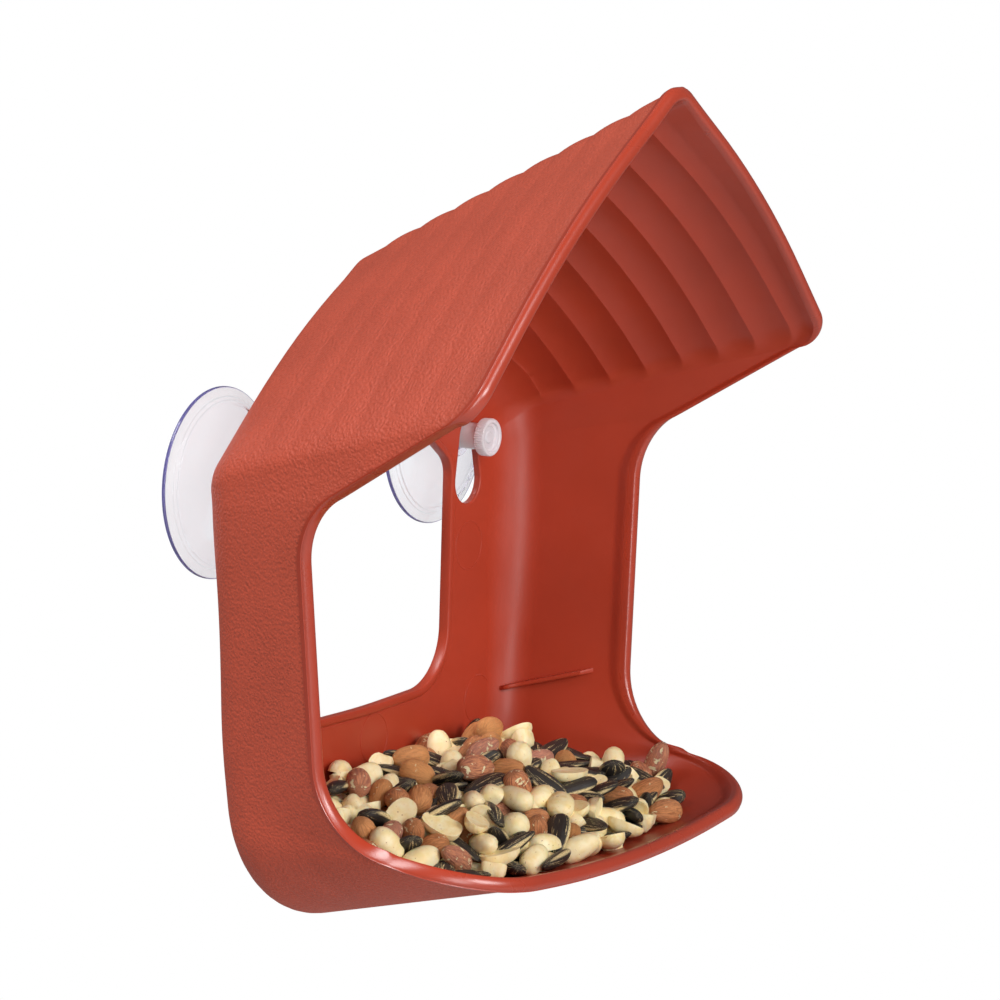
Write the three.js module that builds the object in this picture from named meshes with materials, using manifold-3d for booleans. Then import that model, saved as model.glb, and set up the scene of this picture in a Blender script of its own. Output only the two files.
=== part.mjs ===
// Window bird feeder: a moulded house-shaped shell, open at the front, with a window in its back
// wall. It hangs by two keyholes on the studs of two clear suction cups, each with a knurled
// thumb nut, and its scoop-shaped tray holds a heap of mixed seed.
// Millimetres, Z up. The origin lies on the window glass, midway between the two stud axes.
// +X is to the right seen from the front, and the feeder reaches away from the glass along -Y.

import * as THREE from 'three';
import { mergeVertices } from 'three/addons/utils/BufferGeometryUtils.js';
import Module from 'manifold-3d';

const wasm = await Module();
wasm.setup();

// Suction cups
const cupSpacing = 104;
const cupHeight = 9.1;
const cupRadius = 25;
const cupFlatRing = 1.6;
const cupEdge = 0.9;
const cupStepInset = 3.6;
const cupStepWidth = 1;
const cupStepRise = 0.6;
const cupHollowDepth = 4.2;
const cupWall = 1.7;
const hubRadius = 6;

// Studs, each with its head in a pocket of the hub
const studRadius = 2.4;
const studLength = 12.3;
const studChamfer = 0.5;
const studHeadRadius = 4.1;
const studHeadThickness = 1.3;
const pocketFloor = 0.8;

// Thumb nuts
const nutRadius = 5.2;
const nutThickness = 3;
const nutShoulderRadius = 3.65;
const nutShoulderLength = 6.9;
const nutRecessRadius = 3.9;
const nutRecessDepth = 1.5;
const nutEdge = 0.35;
const knurlCount = 30;
const knurlDepth = 0.25;

// Gaps between pieces that touch or turn
const seatGap = 0.3;
const boreGap = 0.3;

// Shell: wall, and its back section on the outside at the sharp corners, with heights taken from
// the line that lies this far under the stud axes
const studRise = 1.5;
const wall = 2.2;
const backRidgeHeight = 55.2;
const backBow = 5.1;
const backEaveHalfWidth = 75.6;
const backEaveHeight = 7.7;
const backFootHalfWidth = 66.4;
const backFloorDrop = 115.4;
const ridgeRadius = 10;
const bowRadius = 300;
const eaveRadius = 7.1;
const footRadius = 32;
const backEdgeRadius = 15;
const backTopEdgeRadius = 5.8;

// Shell: front rim on the outside at the sharp corners, with depths from the back of the shell
const apexDepth = 98.4;
const apexHeight = 105.3;
const rakeBow = 7;
const eaveDepth = 93;
const eaveHalfWidth = 90.6;
const eaveHeight = 32.6;
const neckDepth = 38.6;
const neckTopHalfWidth = 84.6;
const neckTopHeight = 1;
const neckFootHalfWidth = 76.9;
const neckFootDrop = 82.1;
const lipCornerDepth = 85.6;
const lipCornerHalfWidth = 75.4;
const lipCornerDrop = 92;
const lipMiddleDepth = 88.8;
const lipMiddleDrop = 98.5;
const apexRadius = 8;
const eaveCornerRadius = 10.9;
const neckTopRadius = 22;
const neckFootRadius = 23;
const lipCornerRadius = 28;
const lipMiddleRadius = 480;

// Rim: a smooth outer band, a round bead and an inner step
const rimBand = 2.6;
const rimRamp = 0.5;
const rimStep = 0.7;
const rimInnerStep = 0.9;
const rimRound = 1;
const rimBlend = 4;

// Roof flutes, at steady depths from the back
const fluteFirstDepth = 10.7;
const flutePitch = 10.5;
const fluteCount = 8;
const fluteHeight = 0.5;

// Window in the back wall, with a bead round it inside
const windowPeakHeight = 28;
const windowHalfWidth = 42.4;
const windowShoulderHeight = -4.6;
const windowFootHalfWidth = 39.3;
const windowFootDrop = 64.4;
const windowSillDrop = 65.4;
const windowPeakRadius = 9;
const windowShoulderRadius = 7;
const windowFootRadius = 16;
const windowSillRadius = 400;
const windowBeadWidth = 2.2;
const windowBeadHeight = 1;
const windowBeadRamp = 0.6;

// Keyholes: a slot that hangs on the nut's shoulder, and a hole below it that the nut passes
const keyholeClearance = 1.15;
const keyholeDrop = 12.4;

// Ribs on the inner side walls, each a thin blade that rises towards the front
const ribBackDepth = 4;
const ribFrontDepth = 29;
const ribEndLength = 2.4;
const ribBackDrop = 71.6;
const ribRise = 6.2;
const ribReach = 2.2;
const ribThickness = 1.3;
const ribRoot = 1;

// Seed heap
const heapHalfWidth = 100;
const heapHalfDepth = 60;
const heapRise = 38;
const heapBaseDrop = 116;
const heapMiddle = 10;
const heapMiddleDepth = 8;
const seedCount = 46;
const seedLength = 14.5;
const seedWidth = 9.5;
const seedThickness = 7.6;
const seedSpreadWidth = 69;
const seedSpreadDepth = 29;
const seedSpreadMiddleDepth = 33;
const seedTipAngle = 0.5;

// Angles, in radians, by which the slimness and the tip of the seeds move on from one to the next
const seedSlimTurn = 5;
const seedTipTurn = 3;

// One overrun serves all cuts
const overrun = 3;

// Counts of steps: round each corner of the loops, and along the straight that leads to it
const cornerSteps = [4, 4, 4, 6, 6, 6, 6];
const leadSteps = [0, 1, 1, 3, 2, 1, 1];
const backEdgeSteps = 4;
const roundSides = 32;
const studSides = 16;
const domeSteps = 4;
const keyholeSteps = 10;
const ribSteps = 6;
const halvings = 16;
const heapSides = 20;
const heapRings = 12;
const seedSides = 6;
const seedRings = 5;

// Where the side lines of the back and of the window meet the columns of the neck
const neckTopShare = 0.14;
const neckFootShare = 0.61;
const spanShare = 0.06;
const neckFootSpanShare = 0.1;

// The most of a straight between two corners that their rounds may take
const cornerRoomShare = 0.98;

// Rows along each column: on the side walls, and over one arch of a flute
const sideRowShares = [0.3, 0.62];
const archShares = [0, 0.2, 0.5, 0.8];
const littleShare = 0.01;
const slimShare = 0.25;

const backPlane = -(cupHeight + seatGap);
const pocketBottom = cupHollowDepth + pocketFloor;
const studSeat = pocketBottom + boreGap;
const nutSeat = cupHeight + seatGap;
const slotRadius = nutShoulderRadius + boreGap;
const keyholeRadius = nutRadius + keyholeClearance;
const nutFace = nutSeat + nutShoulderLength + nutThickness;

const shellRed = { color: 0xa8412f, roughness: 0.55, metalness: 0 };
const clearVinyl = { color: 0xe3e6ec, roughness: 0.12, metalness: 0, transparent: true, opacity: 0.5 };
const clearPlastic = { color: 0xe6dcea, roughness: 0.18, metalness: 0, transparent: true, opacity: 0.75 };
const zincSteel = { color: 0xb9bcc0, roughness: 0.3, metalness: 0.9 };
const seedTan = { color: 0xcaa878, roughness: 0.7, metalness: 0 };

function place(x, depth, height) {
  return new THREE.Vector3(x, backPlane - depth, height - studRise);
}

function mirrored(p) {
  return new THREE.Vector3(-p.x, p.y, p.z);
}

function along(a, b, share) {
  return a.clone().lerp(b, share);
}

// How far a corner's round, or its straight stretch, reaches along the sides that meet there
function cornerReach(before, corner, after) {
  if (corner.span) return corner.span;
  const turn = corner.at.clone().sub(before).angleTo(after.clone().sub(corner.at));
  return corner.radius * Math.tan(turn / 2);
}

// A point on the arc that rounds a corner, or on a straight stretch of half length span through it
function cornerPoint(before, corner, after, share) {
  const into = corner.at.clone().sub(before).normalize();
  const out = after.clone().sub(corner.at).normalize();
  if (corner.span) {
    const way = share < 0.5 ? into : out;
    return corner.at.clone().addScaledVector(way, corner.span * (2 * share - 1));
  }
  const turn = into.angleTo(out);
  const start = corner.at.clone().addScaledVector(into, -cornerReach(before, corner, after));
  const toCentre = out.clone().sub(into).normalize();
  const centre = corner.at.clone().addScaledVector(toCentre, corner.radius / Math.cos(turn / 2));
  const axis = into.clone().cross(out).normalize();
  return start.sub(centre).applyAxisAngle(axis, turn * share).add(centre);
}

// Corners whose rounds would meet on the side between them are drawn in alike
function roomy(corners, before, after) {
  const reaches = corners.map((corner, c) => cornerReach(before(c), corner, after(c)));
  const roomAfter = corners.slice(1).map((corner, c) => {
    const room = cornerRoomShare * corner.at.distanceTo(corners[c].at);
    return Math.min(1, room / (reaches[c] + reaches[c + 1]));
  });
  return corners.map((corner, c) => {
    const share = Math.min(roomAfter[c - 1] ?? 1, roomAfter[c] ?? 1);
    return { at: corner.at, radius: corner.radius * share, span: corner.span * share };
  });
}

// The right half of a loop, from the middle of its first corner to the middle of its last
function halfLoop(wanted) {
  const last = wanted.length - 1;
  const before = (c) => (c > 0 ? wanted[c - 1].at : mirrored(wanted[1].at));
  const after = (c) => (c < last ? wanted[c + 1].at : mirrored(wanted[last - 1].at));
  const points = [];
  roomy(wanted, before, after).forEach((corner, c) => {
    const steps = cornerSteps[c];
    const first = c > 0 ? 0 : steps / 2;
    const final = c < last ? steps : steps / 2;
    for (let k = first; k <= final; k += 1) {
      const next = cornerPoint(before(c), corner, after(c), k / steps);
      if (k === first && c > 0) {
        const from = points[points.length - 1];
        for (let s = 1; s < leadSteps[c]; s += 1) points.push(along(from, next, s / leadSteps[c]));
      }
      points.push(next);
    }
  });
  return points;
}

// The middle of a sloping edge, pushed out square to it by a bow in the plane of X and Z
function bowed(a, b, bow) {
  const run = b.clone().sub(a);
  const out = new THREE.Vector3(-run.z, 0, run.x).normalize();
  return along(a, b, 0.5).addScaledVector(out, bow);
}

function rimLoop() {
  const apex = place(0, apexDepth, apexHeight);
  const eave = place(eaveHalfWidth, eaveDepth, eaveHeight);
  return halfLoop([
    { at: apex, radius: apexRadius },
    { at: bowed(apex, eave, rakeBow), radius: bowRadius },
    { at: eave, radius: eaveCornerRadius },
    { at: place(neckTopHalfWidth, neckDepth, neckTopHeight), radius: neckTopRadius },
    { at: place(neckFootHalfWidth, neckDepth, -neckFootDrop), radius: neckFootRadius },
    { at: place(lipCornerHalfWidth, lipCornerDepth, -lipCornerDrop), radius: lipCornerRadius },
    { at: place(0, lipMiddleDepth, -lipMiddleDrop), radius: lipMiddleRadius },
  ]);
}

function backLoop() {
  const ridge = place(0, 0, backRidgeHeight);
  const eave = place(backEaveHalfWidth, 0, backEaveHeight);
  const foot = place(backFootHalfWidth, 0, -backFloorDrop);
  const length = eave.distanceTo(foot);
  return halfLoop([
    { at: ridge, radius: ridgeRadius },
    { at: bowed(ridge, eave, backBow), radius: bowRadius },
    { at: eave, radius: eaveRadius },
    { at: along(eave, foot, neckTopShare), span: spanShare * length },
    { at: along(eave, foot, neckFootShare), span: neckFootSpanShare * length },
    { at: foot, radius: footRadius },
    { at: place(0, 0, -backFloorDrop), span: backFootHalfWidth / 2 },
  ]);
}

function windowLoop() {
  const peak = place(0, 0, windowPeakHeight);
  const shoulder = place(windowHalfWidth, 0, windowShoulderHeight);
  const foot = place(windowFootHalfWidth, 0, -windowFootDrop);
  const length = shoulder.distanceTo(foot);
  return halfLoop([
    { at: peak, radius: windowPeakRadius },
    { at: along(peak, shoulder, 0.5), span: spanShare * length },
    { at: shoulder, radius: windowShoulderRadius },
    { at: along(shoulder, foot, neckTopShare), span: spanShare * length },
    { at: along(shoulder, foot, neckFootShare), span: neckFootSpanShare * length },
    { at: foot, radius: windowFootRadius },
    { at: place(0, 0, -windowSillDrop), radius: windowSillRadius },
  ]);
}

const rim = rimLoop();
const back = backLoop();
const opening = windowLoop();
const lastColumn = rim.length - 1;
const roofColumns = cornerSteps[0] / 2 + leadSteps[1] + cornerSteps[1] + leadSteps[2];

function onLoop(loop, i) {
  if (i < 0) return mirrored(loop[-i]);
  if (i > lastColumn) return mirrored(loop[2 * lastColumn - i]);
  return loop[i];
}

// The outside of the shell in column i: share 0 to 1 runs round the back edge, 1 to 2 to the rim
function outside(i, share) {
  const overRoof = Math.min(Math.abs(i) / roofColumns, 1);
  const radius = THREE.MathUtils.lerp(backTopEdgeRadius, backEdgeRadius, overRoof);
  const edge = { at: onLoop(back, i), radius };
  const front = onLoop(rim, i);
  const turned = cornerPoint(onLoop(opening, i), edge, front, Math.min(share, 1));
  return share > 1 ? along(turned, front, share - 1) : turned;
}

function outward(i, share) {
  const ahead = outside(i, Math.min(share + littleShare, 2));
  const forward = ahead.sub(outside(i, Math.max(share - littleShare, 0)));
  const round = outside(i + 1, share).sub(outside(i - 1, share));
  return forward.cross(round).normalize();
}

// Each flute rises as a low arch between two valleys, and the last one runs into the rim
function fluteRise(depth) {
  const turns = (depth - fluteFirstDepth) / flutePitch;
  if (turns < 0) return 0;
  const inFlute = turns - Math.floor(turns);
  const share = turns > fluteCount - 1 ? Math.min(turns - (fluteCount - 1), 0.5) : inFlute;
  return 4 * fluteHeight * share * (1 - share);
}

// Places along a column's side, as shares from the back edge to the rim
function sideRows(i) {
  if (i > roofColumns + 1) return sideRowShares;
  const start = backPlane - outside(i, 1).y;
  const length = backPlane - rim[i].y - start;
  const rows = [];
  for (let k = 0; k < fluteCount - 1; k += 1) {
    archShares.forEach((s) => rows.push((fluteFirstDepth + (k + s) * flutePitch - start) / length));
  }
  rows.push((fluteFirstDepth + (fluteCount - 1) * flutePitch - start) / length);
  return rows;
}

// One column of the shell as a closed run of points, each with a key that orders it among its like
function shellColumn(i) {
  const points = [];
  const front = rim[i];
  const forward = front.clone().sub(outside(i, 1)).normalize();
  const frontOut = outward(i, 2);
  const lift = i <= roofColumns ? fluteRise(backPlane - front.y - rimBand) : 0;
  const add = (key, at) => points.push({ key, at });
  const skin = (share, inset) => {
    const at = outside(i, share);
    const rise = i <= roofColumns && share > 1 ? fluteRise(backPlane - at.y) : 0;
    return at.addScaledVector(outward(i, share), rise - inset);
  };
  const atRim = (setback, out) => front.clone().addScaledVector(forward, -setback)
    .addScaledVector(frontOut, out + lift);
  const inside = wall + rimInnerStep;
  const rows = sideRows(i);

  add(0, opening[i].clone());
  for (let k = 0; k <= backEdgeSteps; k += 1) add(1 + k / backEdgeSteps, skin(k / backEdgeSteps, 0));
  rows.forEach((s, r) => add(2 + (r + 1) / (rows.length + 1), skin(1 + s, 0)));
  add(3, atRim(rimBand, 0));
  add(3.1, atRim(rimBand - rimRamp, rimStep));
  add(3.2, atRim(rimRound, rimStep));
  add(3.3, atRim(0, rimStep - rimRound));
  add(3.4, atRim(0, rimRound - inside));
  add(3.5, atRim(rimRound, -inside));
  add(3.6, atRim(rimBand, -inside));
  add(3.7, atRim(rimBand + rimBlend, -wall));
  rows.forEach((_, r) => {
    const s = rows[rows.length - 1 - r];
    add(4 + (r + 1) / (rows.length + 1), skin(1 + s, wall));
  });
  for (let k = 0; k <= backEdgeSteps; k += 1) add(5 + k / backEdgeSteps, skin(1 - k / backEdgeSteps, wall));
  const spoke = outside(i, 0).sub(opening[i]).normalize();
  const bead = (width, depth) => opening[i].clone().addScaledVector(spoke, width)
    .add(new THREE.Vector3(0, -depth, 0));
  add(6.1, bead(windowBeadWidth + windowBeadRamp, wall));
  add(6.2, bead(windowBeadWidth, wall + windowBeadHeight));
  add(6.3, bead(0, wall + windowBeadHeight));
  return points;
}

// Triangles between two neighbouring closed columns, stepping along whichever is behind
function zip(a, b, firstA, firstB, indices) {
  const end = 7;
  const keyAt = (run, k) => (k < run.length ? run[k].key : end);
  let i = 0;
  let j = 0;
  while (i < a.length || j < b.length) {
    const nextA = i < a.length ? keyAt(a, i + 1) : end + 1;
    const nextB = j < b.length ? keyAt(b, j + 1) : end + 1;
    const a0 = firstA + (i % a.length);
    const b0 = firstB + (j % b.length);
    const a1 = firstA + ((i + 1) % a.length);
    const b1 = firstB + ((j + 1) % b.length);
    if (nextA <= nextB) {
      indices.push(a0, a1, nextA === nextB ? b1 : b0);
      i += 1;
    }
    if (nextB <= nextA) {
      indices.push(a0, b1, b0);
      j += 1;
    }
  }
}

function indexedGeometry(points, indices) {
  const geometry = new THREE.BufferGeometry();
  geometry.setAttribute('position', new THREE.Float32BufferAttribute(points.flatMap((p) => p.toArray()), 3));
  geometry.setIndex(indices);
  return geometry;
}

function shellGeometry() {
  const half = rim.map((_, i) => shellColumn(i));
  const columns = [...half];
  for (let i = lastColumn - 1; i > 0; i -= 1) {
    columns.push(half[i].map((row) => ({ key: row.key, at: mirrored(row.at) })));
  }
  const points = [];
  const starts = columns.map((column) => {
    const start = points.length;
    column.forEach((row) => points.push(row.at));
    return start;
  });
  const indices = [];
  columns.forEach((column, c) => {
    const next = (c + 1) % columns.length;
    zip(column, columns[next], starts[c], starts[next], indices);
  });
  return indexedGeometry(points, indices);
}

// The room inside the shell, a seating gap clear of the walls, closed straight across at both ends
function roomGeometry() {
  const inset = wall + seatGap;
  const points = [];
  const indices = [];
  const bedColumns = rim.map((_, i) => {
    const run = outside(i, 1).distanceTo(rim[i]);
    const at = (share, step) => outside(i, share).addScaledVector(outward(i, share), -inset - step);
    const column = [opening[i].clone().add(new THREE.Vector3(0, -inset, 0))];
    for (let k = 0; k <= backEdgeSteps; k += 1) column.push(at(k / backEdgeSteps, 0));
    sideRowShares.forEach((s) => column.push(at(1 + s, 0)));
    column.push(at(2 - (rimBand + rimBlend) / run, 0));
    column.push(at(2 - rimBand / run, rimInnerStep), at(2, rimInnerStep));
    return column;
  });
  const rowCount = bedColumns[0].length;
  for (const side of [1, -1]) {
    bedColumns.forEach((column) => {
      column.forEach((p) => points.push(new THREE.Vector3(p.x * side, p.y, p.z)));
    });
  }
  const at = (side, i, r) => (side * bedColumns.length + i) * rowCount + r;
  const quad = (p, q, r, s) => indices.push(p, q, r, p, r, s);
  for (let i = 0; i < lastColumn; i += 1) {
    for (let r = 0; r + 1 < rowCount; r += 1) {
      quad(at(0, i, r), at(0, i, r + 1), at(0, i + 1, r + 1), at(0, i + 1, r));
      quad(at(1, i, r), at(1, i + 1, r), at(1, i + 1, r + 1), at(1, i, r + 1));
    }
    const front = rowCount - 1;
    quad(at(0, i, front), at(1, i, front), at(1, i + 1, front), at(0, i + 1, front));
    quad(at(0, i, 0), at(0, i + 1, 0), at(1, i + 1, 0), at(1, i, 0));
  }
  return indexedGeometry(points, indices);
}

function solidOf(geometry) {
  const bare = geometry.clone();
  bare.deleteAttribute('normal');
  bare.deleteAttribute('uv');
  const merged = mergeVertices(bare);
  const indices = [];
  const source = merged.index.array;
  for (let t = 0; t < source.length; t += 3) {
    const [p, q, r] = [source[t], source[t + 1], source[t + 2]];
    if (p !== q && q !== r && r !== p) indices.push(p, q, r);
  }
  return new wasm.Manifold(new wasm.Mesh({
    numProp: 3,
    vertProperties: new Float32Array(merged.attributes.position.array),
    triVerts: new Uint32Array(indices),
  }));
}

function geometryOf(solid) {
  const mesh = solid.getMesh();
  const geometry = new THREE.BufferGeometry();
  geometry.setAttribute('position', new THREE.Float32BufferAttribute(mesh.vertProperties, 3));
  geometry.setIndex(Array.from(mesh.triVerts));
  geometry.computeVertexNormals();
  return geometry;
}

// A pear-shaped cut: a narrow slot round the stud that widens to a hole the nut can pass through
function keyholeGeometry(x) {
  const lean = Math.asin((keyholeRadius - slotRadius) / keyholeDrop);
  const outline = new THREE.Shape();
  outline.absarc(x, 0, slotRadius, lean, Math.PI - lean, false);
  outline.absarc(x, -keyholeDrop, keyholeRadius, Math.PI - lean, 2 * Math.PI + lean, false);
  const depth = wall + windowBeadHeight + 2 * overrun;
  const cut = new THREE.ExtrudeGeometry(outline, { depth, bevelEnabled: false, curveSegments: keyholeSteps });
  cut.rotateX(Math.PI / 2);
  cut.translate(0, backPlane + overrun, 0);
  return cut;
}

// The inner face of column i, at a share as for its outside
function innerFace(i, share) {
  return outside(i, share).addScaledVector(outward(i, share), -wall);
}

// Where the inner face of column i passes a depth from the back, found by halving its length
function innerAtDepth(i, depth) {
  let low = 0;
  let high = 2;
  for (let k = 0; k < halvings; k += 1) {
    const share = (low + high) / 2;
    if (backPlane - innerFace(i, share).y < depth) low = share;
    else high = share;
  }
  return innerFace(i, low);
}

// Half the width inside the shell at a depth and a height
function halfWidthInside(depth, height) {
  const z = height - studRise;
  const points = rim.map((_, i) => innerAtDepth(i, depth));
  const below = points.findIndex((p) => p.z < z);
  const share = (z - points[below].z) / (points[below - 1].z - points[below].z);
  return along(points[below], points[below - 1], share).x;
}

// The right rib: a thin blade along the inner side wall, its root sunk into the wall, its free edge
// straight, and its front end sloping back to the wall
function ribSolid() {
  const { lerp, inverseLerp } = THREE.MathUtils;
  const endDepth = ribFrontDepth - ribEndLength;
  const heightAt = (depth) => ribRise * inverseLerp(ribBackDepth, ribFrontDepth, depth) - ribBackDrop;
  const faceAt = (depth) => halfWidthInside(depth, heightAt(depth));
  const [backX, endX] = [faceAt(ribBackDepth), faceAt(endDepth) - ribReach];
  const stations = [];
  for (let k = 0; k <= ribSteps; k += 1) {
    const share = k / ribSteps;
    stations.push([lerp(ribBackDepth, endDepth, share), lerp(backX, endX, share)]);
  }
  stations.push([ribFrontDepth, faceAt(ribFrontDepth)]);

  const points = [];
  const indices = [];
  const quad = (p, q, r, s) => indices.push(p, q, r, p, r, s);
  stations.forEach(([depth, freeX], k) => {
    const rootX = faceAt(depth) + ribRoot;
    const low = heightAt(depth);
    const top = low + ribThickness;
    const first = points.length;
    points.push(place(rootX, depth, low), place(freeX, depth, low));
    points.push(place(freeX, depth, top), place(rootX, depth, top));
    for (let e = 0; k > 0 && e < 4; e += 1) {
      const next = (e + 1) % 4;
      quad(first - 4 + e, first + e, first + next, first - 4 + next);
    }
  });
  const last = points.length - 4;
  quad(0, 1, 2, 3);
  quad(last, last + 3, last + 2, last + 1);
  return solidOf(indexedGeometry(points, indices));
}

function bodySolid() {
  const rib = ribSolid();
  const body = solidOf(shellGeometry()).add(rib).add(rib.mirror([1, 0, 0]));
  const keyholes = [-1, 1].map((side) => solidOf(keyholeGeometry(side * cupSpacing / 2)));
  return body.subtract(keyholes[0]).subtract(keyholes[1]);
}

// A turned shape from radius and distance off the glass
function turnedGeometry(profile, sides) {
  const points = profile.map(([r, off]) => new THREE.Vector2(r, -off)).reverse();
  return new THREE.LatheGeometry(points, sides);
}

function cupProfile() {
  const lip = cupRadius - cupFlatRing;
  const hollowAt = (r) => cupHollowDepth * (1 - (r / lip) ** 2);
  const profile = [];
  for (let k = 0; k <= domeSteps; k += 1) profile.push([lip * k / domeSteps, hollowAt(lip * k / domeSteps)]);
  const stepOuter = cupRadius - cupStepInset;
  const domeOuter = stepOuter - cupStepWidth;
  const domeFoot = hollowAt(domeOuter) + cupWall;
  profile.push([cupRadius, 0], [cupRadius, cupEdge]);
  profile.push([stepOuter, domeFoot - cupStepRise], [domeOuter, domeFoot]);
  for (let k = 1; k <= domeSteps; k += 1) {
    const r = THREE.MathUtils.lerp(domeOuter, hubRadius, k / domeSteps);
    profile.push([r, hollowAt(r) + cupWall]);
  }
  const bore = studRadius + boreGap;
  const pocket = studHeadRadius + boreGap;
  const pocketTop = studSeat + studHeadThickness + boreGap;
  profile.push([hubRadius, cupHeight], [bore, cupHeight], [bore, pocketTop], [pocket, pocketTop]);
  profile.push([pocket, pocketBottom], [0, pocketBottom]);
  return profile;
}

function cupGeometry() {
  return turnedGeometry(cupProfile(), roundSides);
}

function studGeometry() {
  const top = studSeat + studHeadThickness;
  const tip = studSeat + studLength;
  return turnedGeometry([
    [0, studSeat],
    [studHeadRadius, studSeat],
    [studHeadRadius, top],
    [studRadius, top],
    [studRadius, tip - studChamfer],
    [studRadius - studChamfer, tip],
    [0, tip],
  ], studSides);
}

function knurledOutline() {
  const outline = new THREE.Shape();
  for (let k = 0; k < 2 * knurlCount; k += 1) {
    const radius = nutRadius - nutEdge - (k % 2) * knurlDepth;
    const angle = Math.PI * k / knurlCount;
    const method = k === 0 ? 'moveTo' : 'lineTo';
    outline[method](radius * Math.cos(angle), radius * Math.sin(angle));
  }
  return outline;
}

function nutSolid() {
  const head = new THREE.ExtrudeGeometry(knurledOutline(), {
    depth: nutThickness - 2 * nutEdge,
    bevelThickness: nutEdge,
    bevelSize: nutEdge,
    bevelSegments: 1,
  });
  head.rotateX(Math.PI / 2);
  head.translate(0, -(nutFace - nutThickness + nutEdge), 0);
  const shoulder = turnedGeometry([
    [0, nutSeat],
    [nutShoulderRadius, nutSeat],
    [nutShoulderRadius, nutFace - nutThickness / 2],
    [0, nutFace - nutThickness / 2],
  ], roundSides);
  const bore = studRadius + boreGap;
  const recessFloor = nutFace - nutRecessDepth;
  const cut = turnedGeometry([
    [0, nutSeat - overrun],
    [bore, nutSeat - overrun],
    [bore, recessFloor],
    [nutRecessRadius, nutFace],
    [nutRecessRadius, nutFace + overrun],
    [0, nutFace + overrun],
  ], roundSides);
  return solidOf(head).add(solidOf(shoulder)).subtract(solidOf(cut));
}

// Height of the heap's smooth core over a place in the tray
function heapTop(x, depth) {
  const across = (x - heapMiddle) / heapHalfWidth;
  const deep = (depth - heapMiddleDepth) / heapHalfDepth;
  return heapRise * Math.sqrt(Math.max(0, 1 - across ** 2 - deep ** 2)) - heapBaseDrop;
}

function heapCore() {
  const core = new THREE.SphereGeometry(1, heapSides, heapRings);
  core.scale(heapHalfWidth, heapHalfDepth, heapRise);
  const middle = place(heapMiddle, heapMiddleDepth, -heapBaseDrop);
  core.translate(middle.x, middle.y, middle.z);
  return core;
}

// Seeds lie over the core on a spiral of steady spacing, each turned and tipped its own way
function seedGeometry(k) {
  const goldenAngle = Math.PI * (3 - Math.sqrt(5));
  const reachShare = Math.sqrt((k + 0.5) / seedCount);
  const x = seedSpreadWidth * reachShare * Math.cos(k * goldenAngle);
  const depth = seedSpreadMiddleDepth + seedSpreadDepth * reachShare * Math.sin(k * goldenAngle);
  const seed = new THREE.SphereGeometry(0.5, seedSides, seedRings);
  const slim = 1 - slimShare + slimShare * Math.cos(seedSlimTurn * k);
  seed.scale(seedLength, seedWidth * slim, seedThickness * slim);
  seed.rotateY(seedTipAngle * Math.sin(seedTipTurn * k));
  seed.rotateZ(k * goldenAngle);
  const middle = place(x, depth, heapTop(x, depth));
  seed.translate(middle.x, middle.y, middle.z);
  return seed;
}

function heapSolid() {
  let heap = solidOf(heapCore());
  for (let k = 0; k < seedCount; k += 1) heap = heap.add(solidOf(seedGeometry(k)));
  return heap.intersect(solidOf(roomGeometry()));
}

const feeder = new THREE.Group();

function addMesh(name, geometry, finish, x) {
  const mesh = new THREE.Mesh(geometry, new THREE.MeshStandardMaterial(finish));
  mesh.name = name;
  mesh.position.x = x;
  feeder.add(mesh);
}

addMesh('feeder_body', geometryOf(bodySolid()), shellRed, 0);
addMesh('seed_mix', geometryOf(heapSolid()), seedTan, 0);

const nutGeometry = geometryOf(nutSolid());
for (const [side, name] of [[-1, 'left'], [1, 'right']]) {
  const x = side * cupSpacing / 2;
  addMesh(`suction_cup_${name}`, cupGeometry(), clearVinyl, x);
  addMesh(`stud_${name}`, studGeometry(), zincSteel, x);
  addMesh(`thumb_nut_${name}`, nutGeometry, clearPlastic, x);
}

export default feeder;
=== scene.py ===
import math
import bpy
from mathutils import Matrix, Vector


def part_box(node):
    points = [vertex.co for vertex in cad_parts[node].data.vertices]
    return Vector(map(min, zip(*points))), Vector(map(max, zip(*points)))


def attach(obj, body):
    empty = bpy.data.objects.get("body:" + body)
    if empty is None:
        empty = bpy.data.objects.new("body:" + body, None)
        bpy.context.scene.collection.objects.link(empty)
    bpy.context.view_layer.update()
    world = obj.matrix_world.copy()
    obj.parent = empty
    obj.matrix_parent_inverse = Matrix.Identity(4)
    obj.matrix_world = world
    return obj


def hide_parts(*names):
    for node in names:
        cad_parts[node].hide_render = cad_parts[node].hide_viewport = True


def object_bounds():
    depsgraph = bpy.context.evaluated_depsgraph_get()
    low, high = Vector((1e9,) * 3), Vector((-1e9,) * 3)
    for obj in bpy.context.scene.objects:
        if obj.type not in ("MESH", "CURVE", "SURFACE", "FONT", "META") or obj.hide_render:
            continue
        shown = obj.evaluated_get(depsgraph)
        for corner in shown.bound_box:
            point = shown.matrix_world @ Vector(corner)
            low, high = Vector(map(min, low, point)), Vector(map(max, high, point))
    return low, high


bl_info = {
    "name": "Window bird feeder",
    "version": (1, 0, 0),
    "blender": (4, 5, 0),
    "location": "View3D > Sidebar > Bird feeder",
    "description": "Makes a house-shaped window feeder with its suction cups, thumb nuts and seed",
    "category": "Object",
}

import bpy
import bmesh
import numpy as np
from mathutils import Matrix, Vector
from mathutils.bvhtree import BVHTree
from bpy.props import FloatProperty, FloatVectorProperty, IntProperty, PointerProperty

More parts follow.
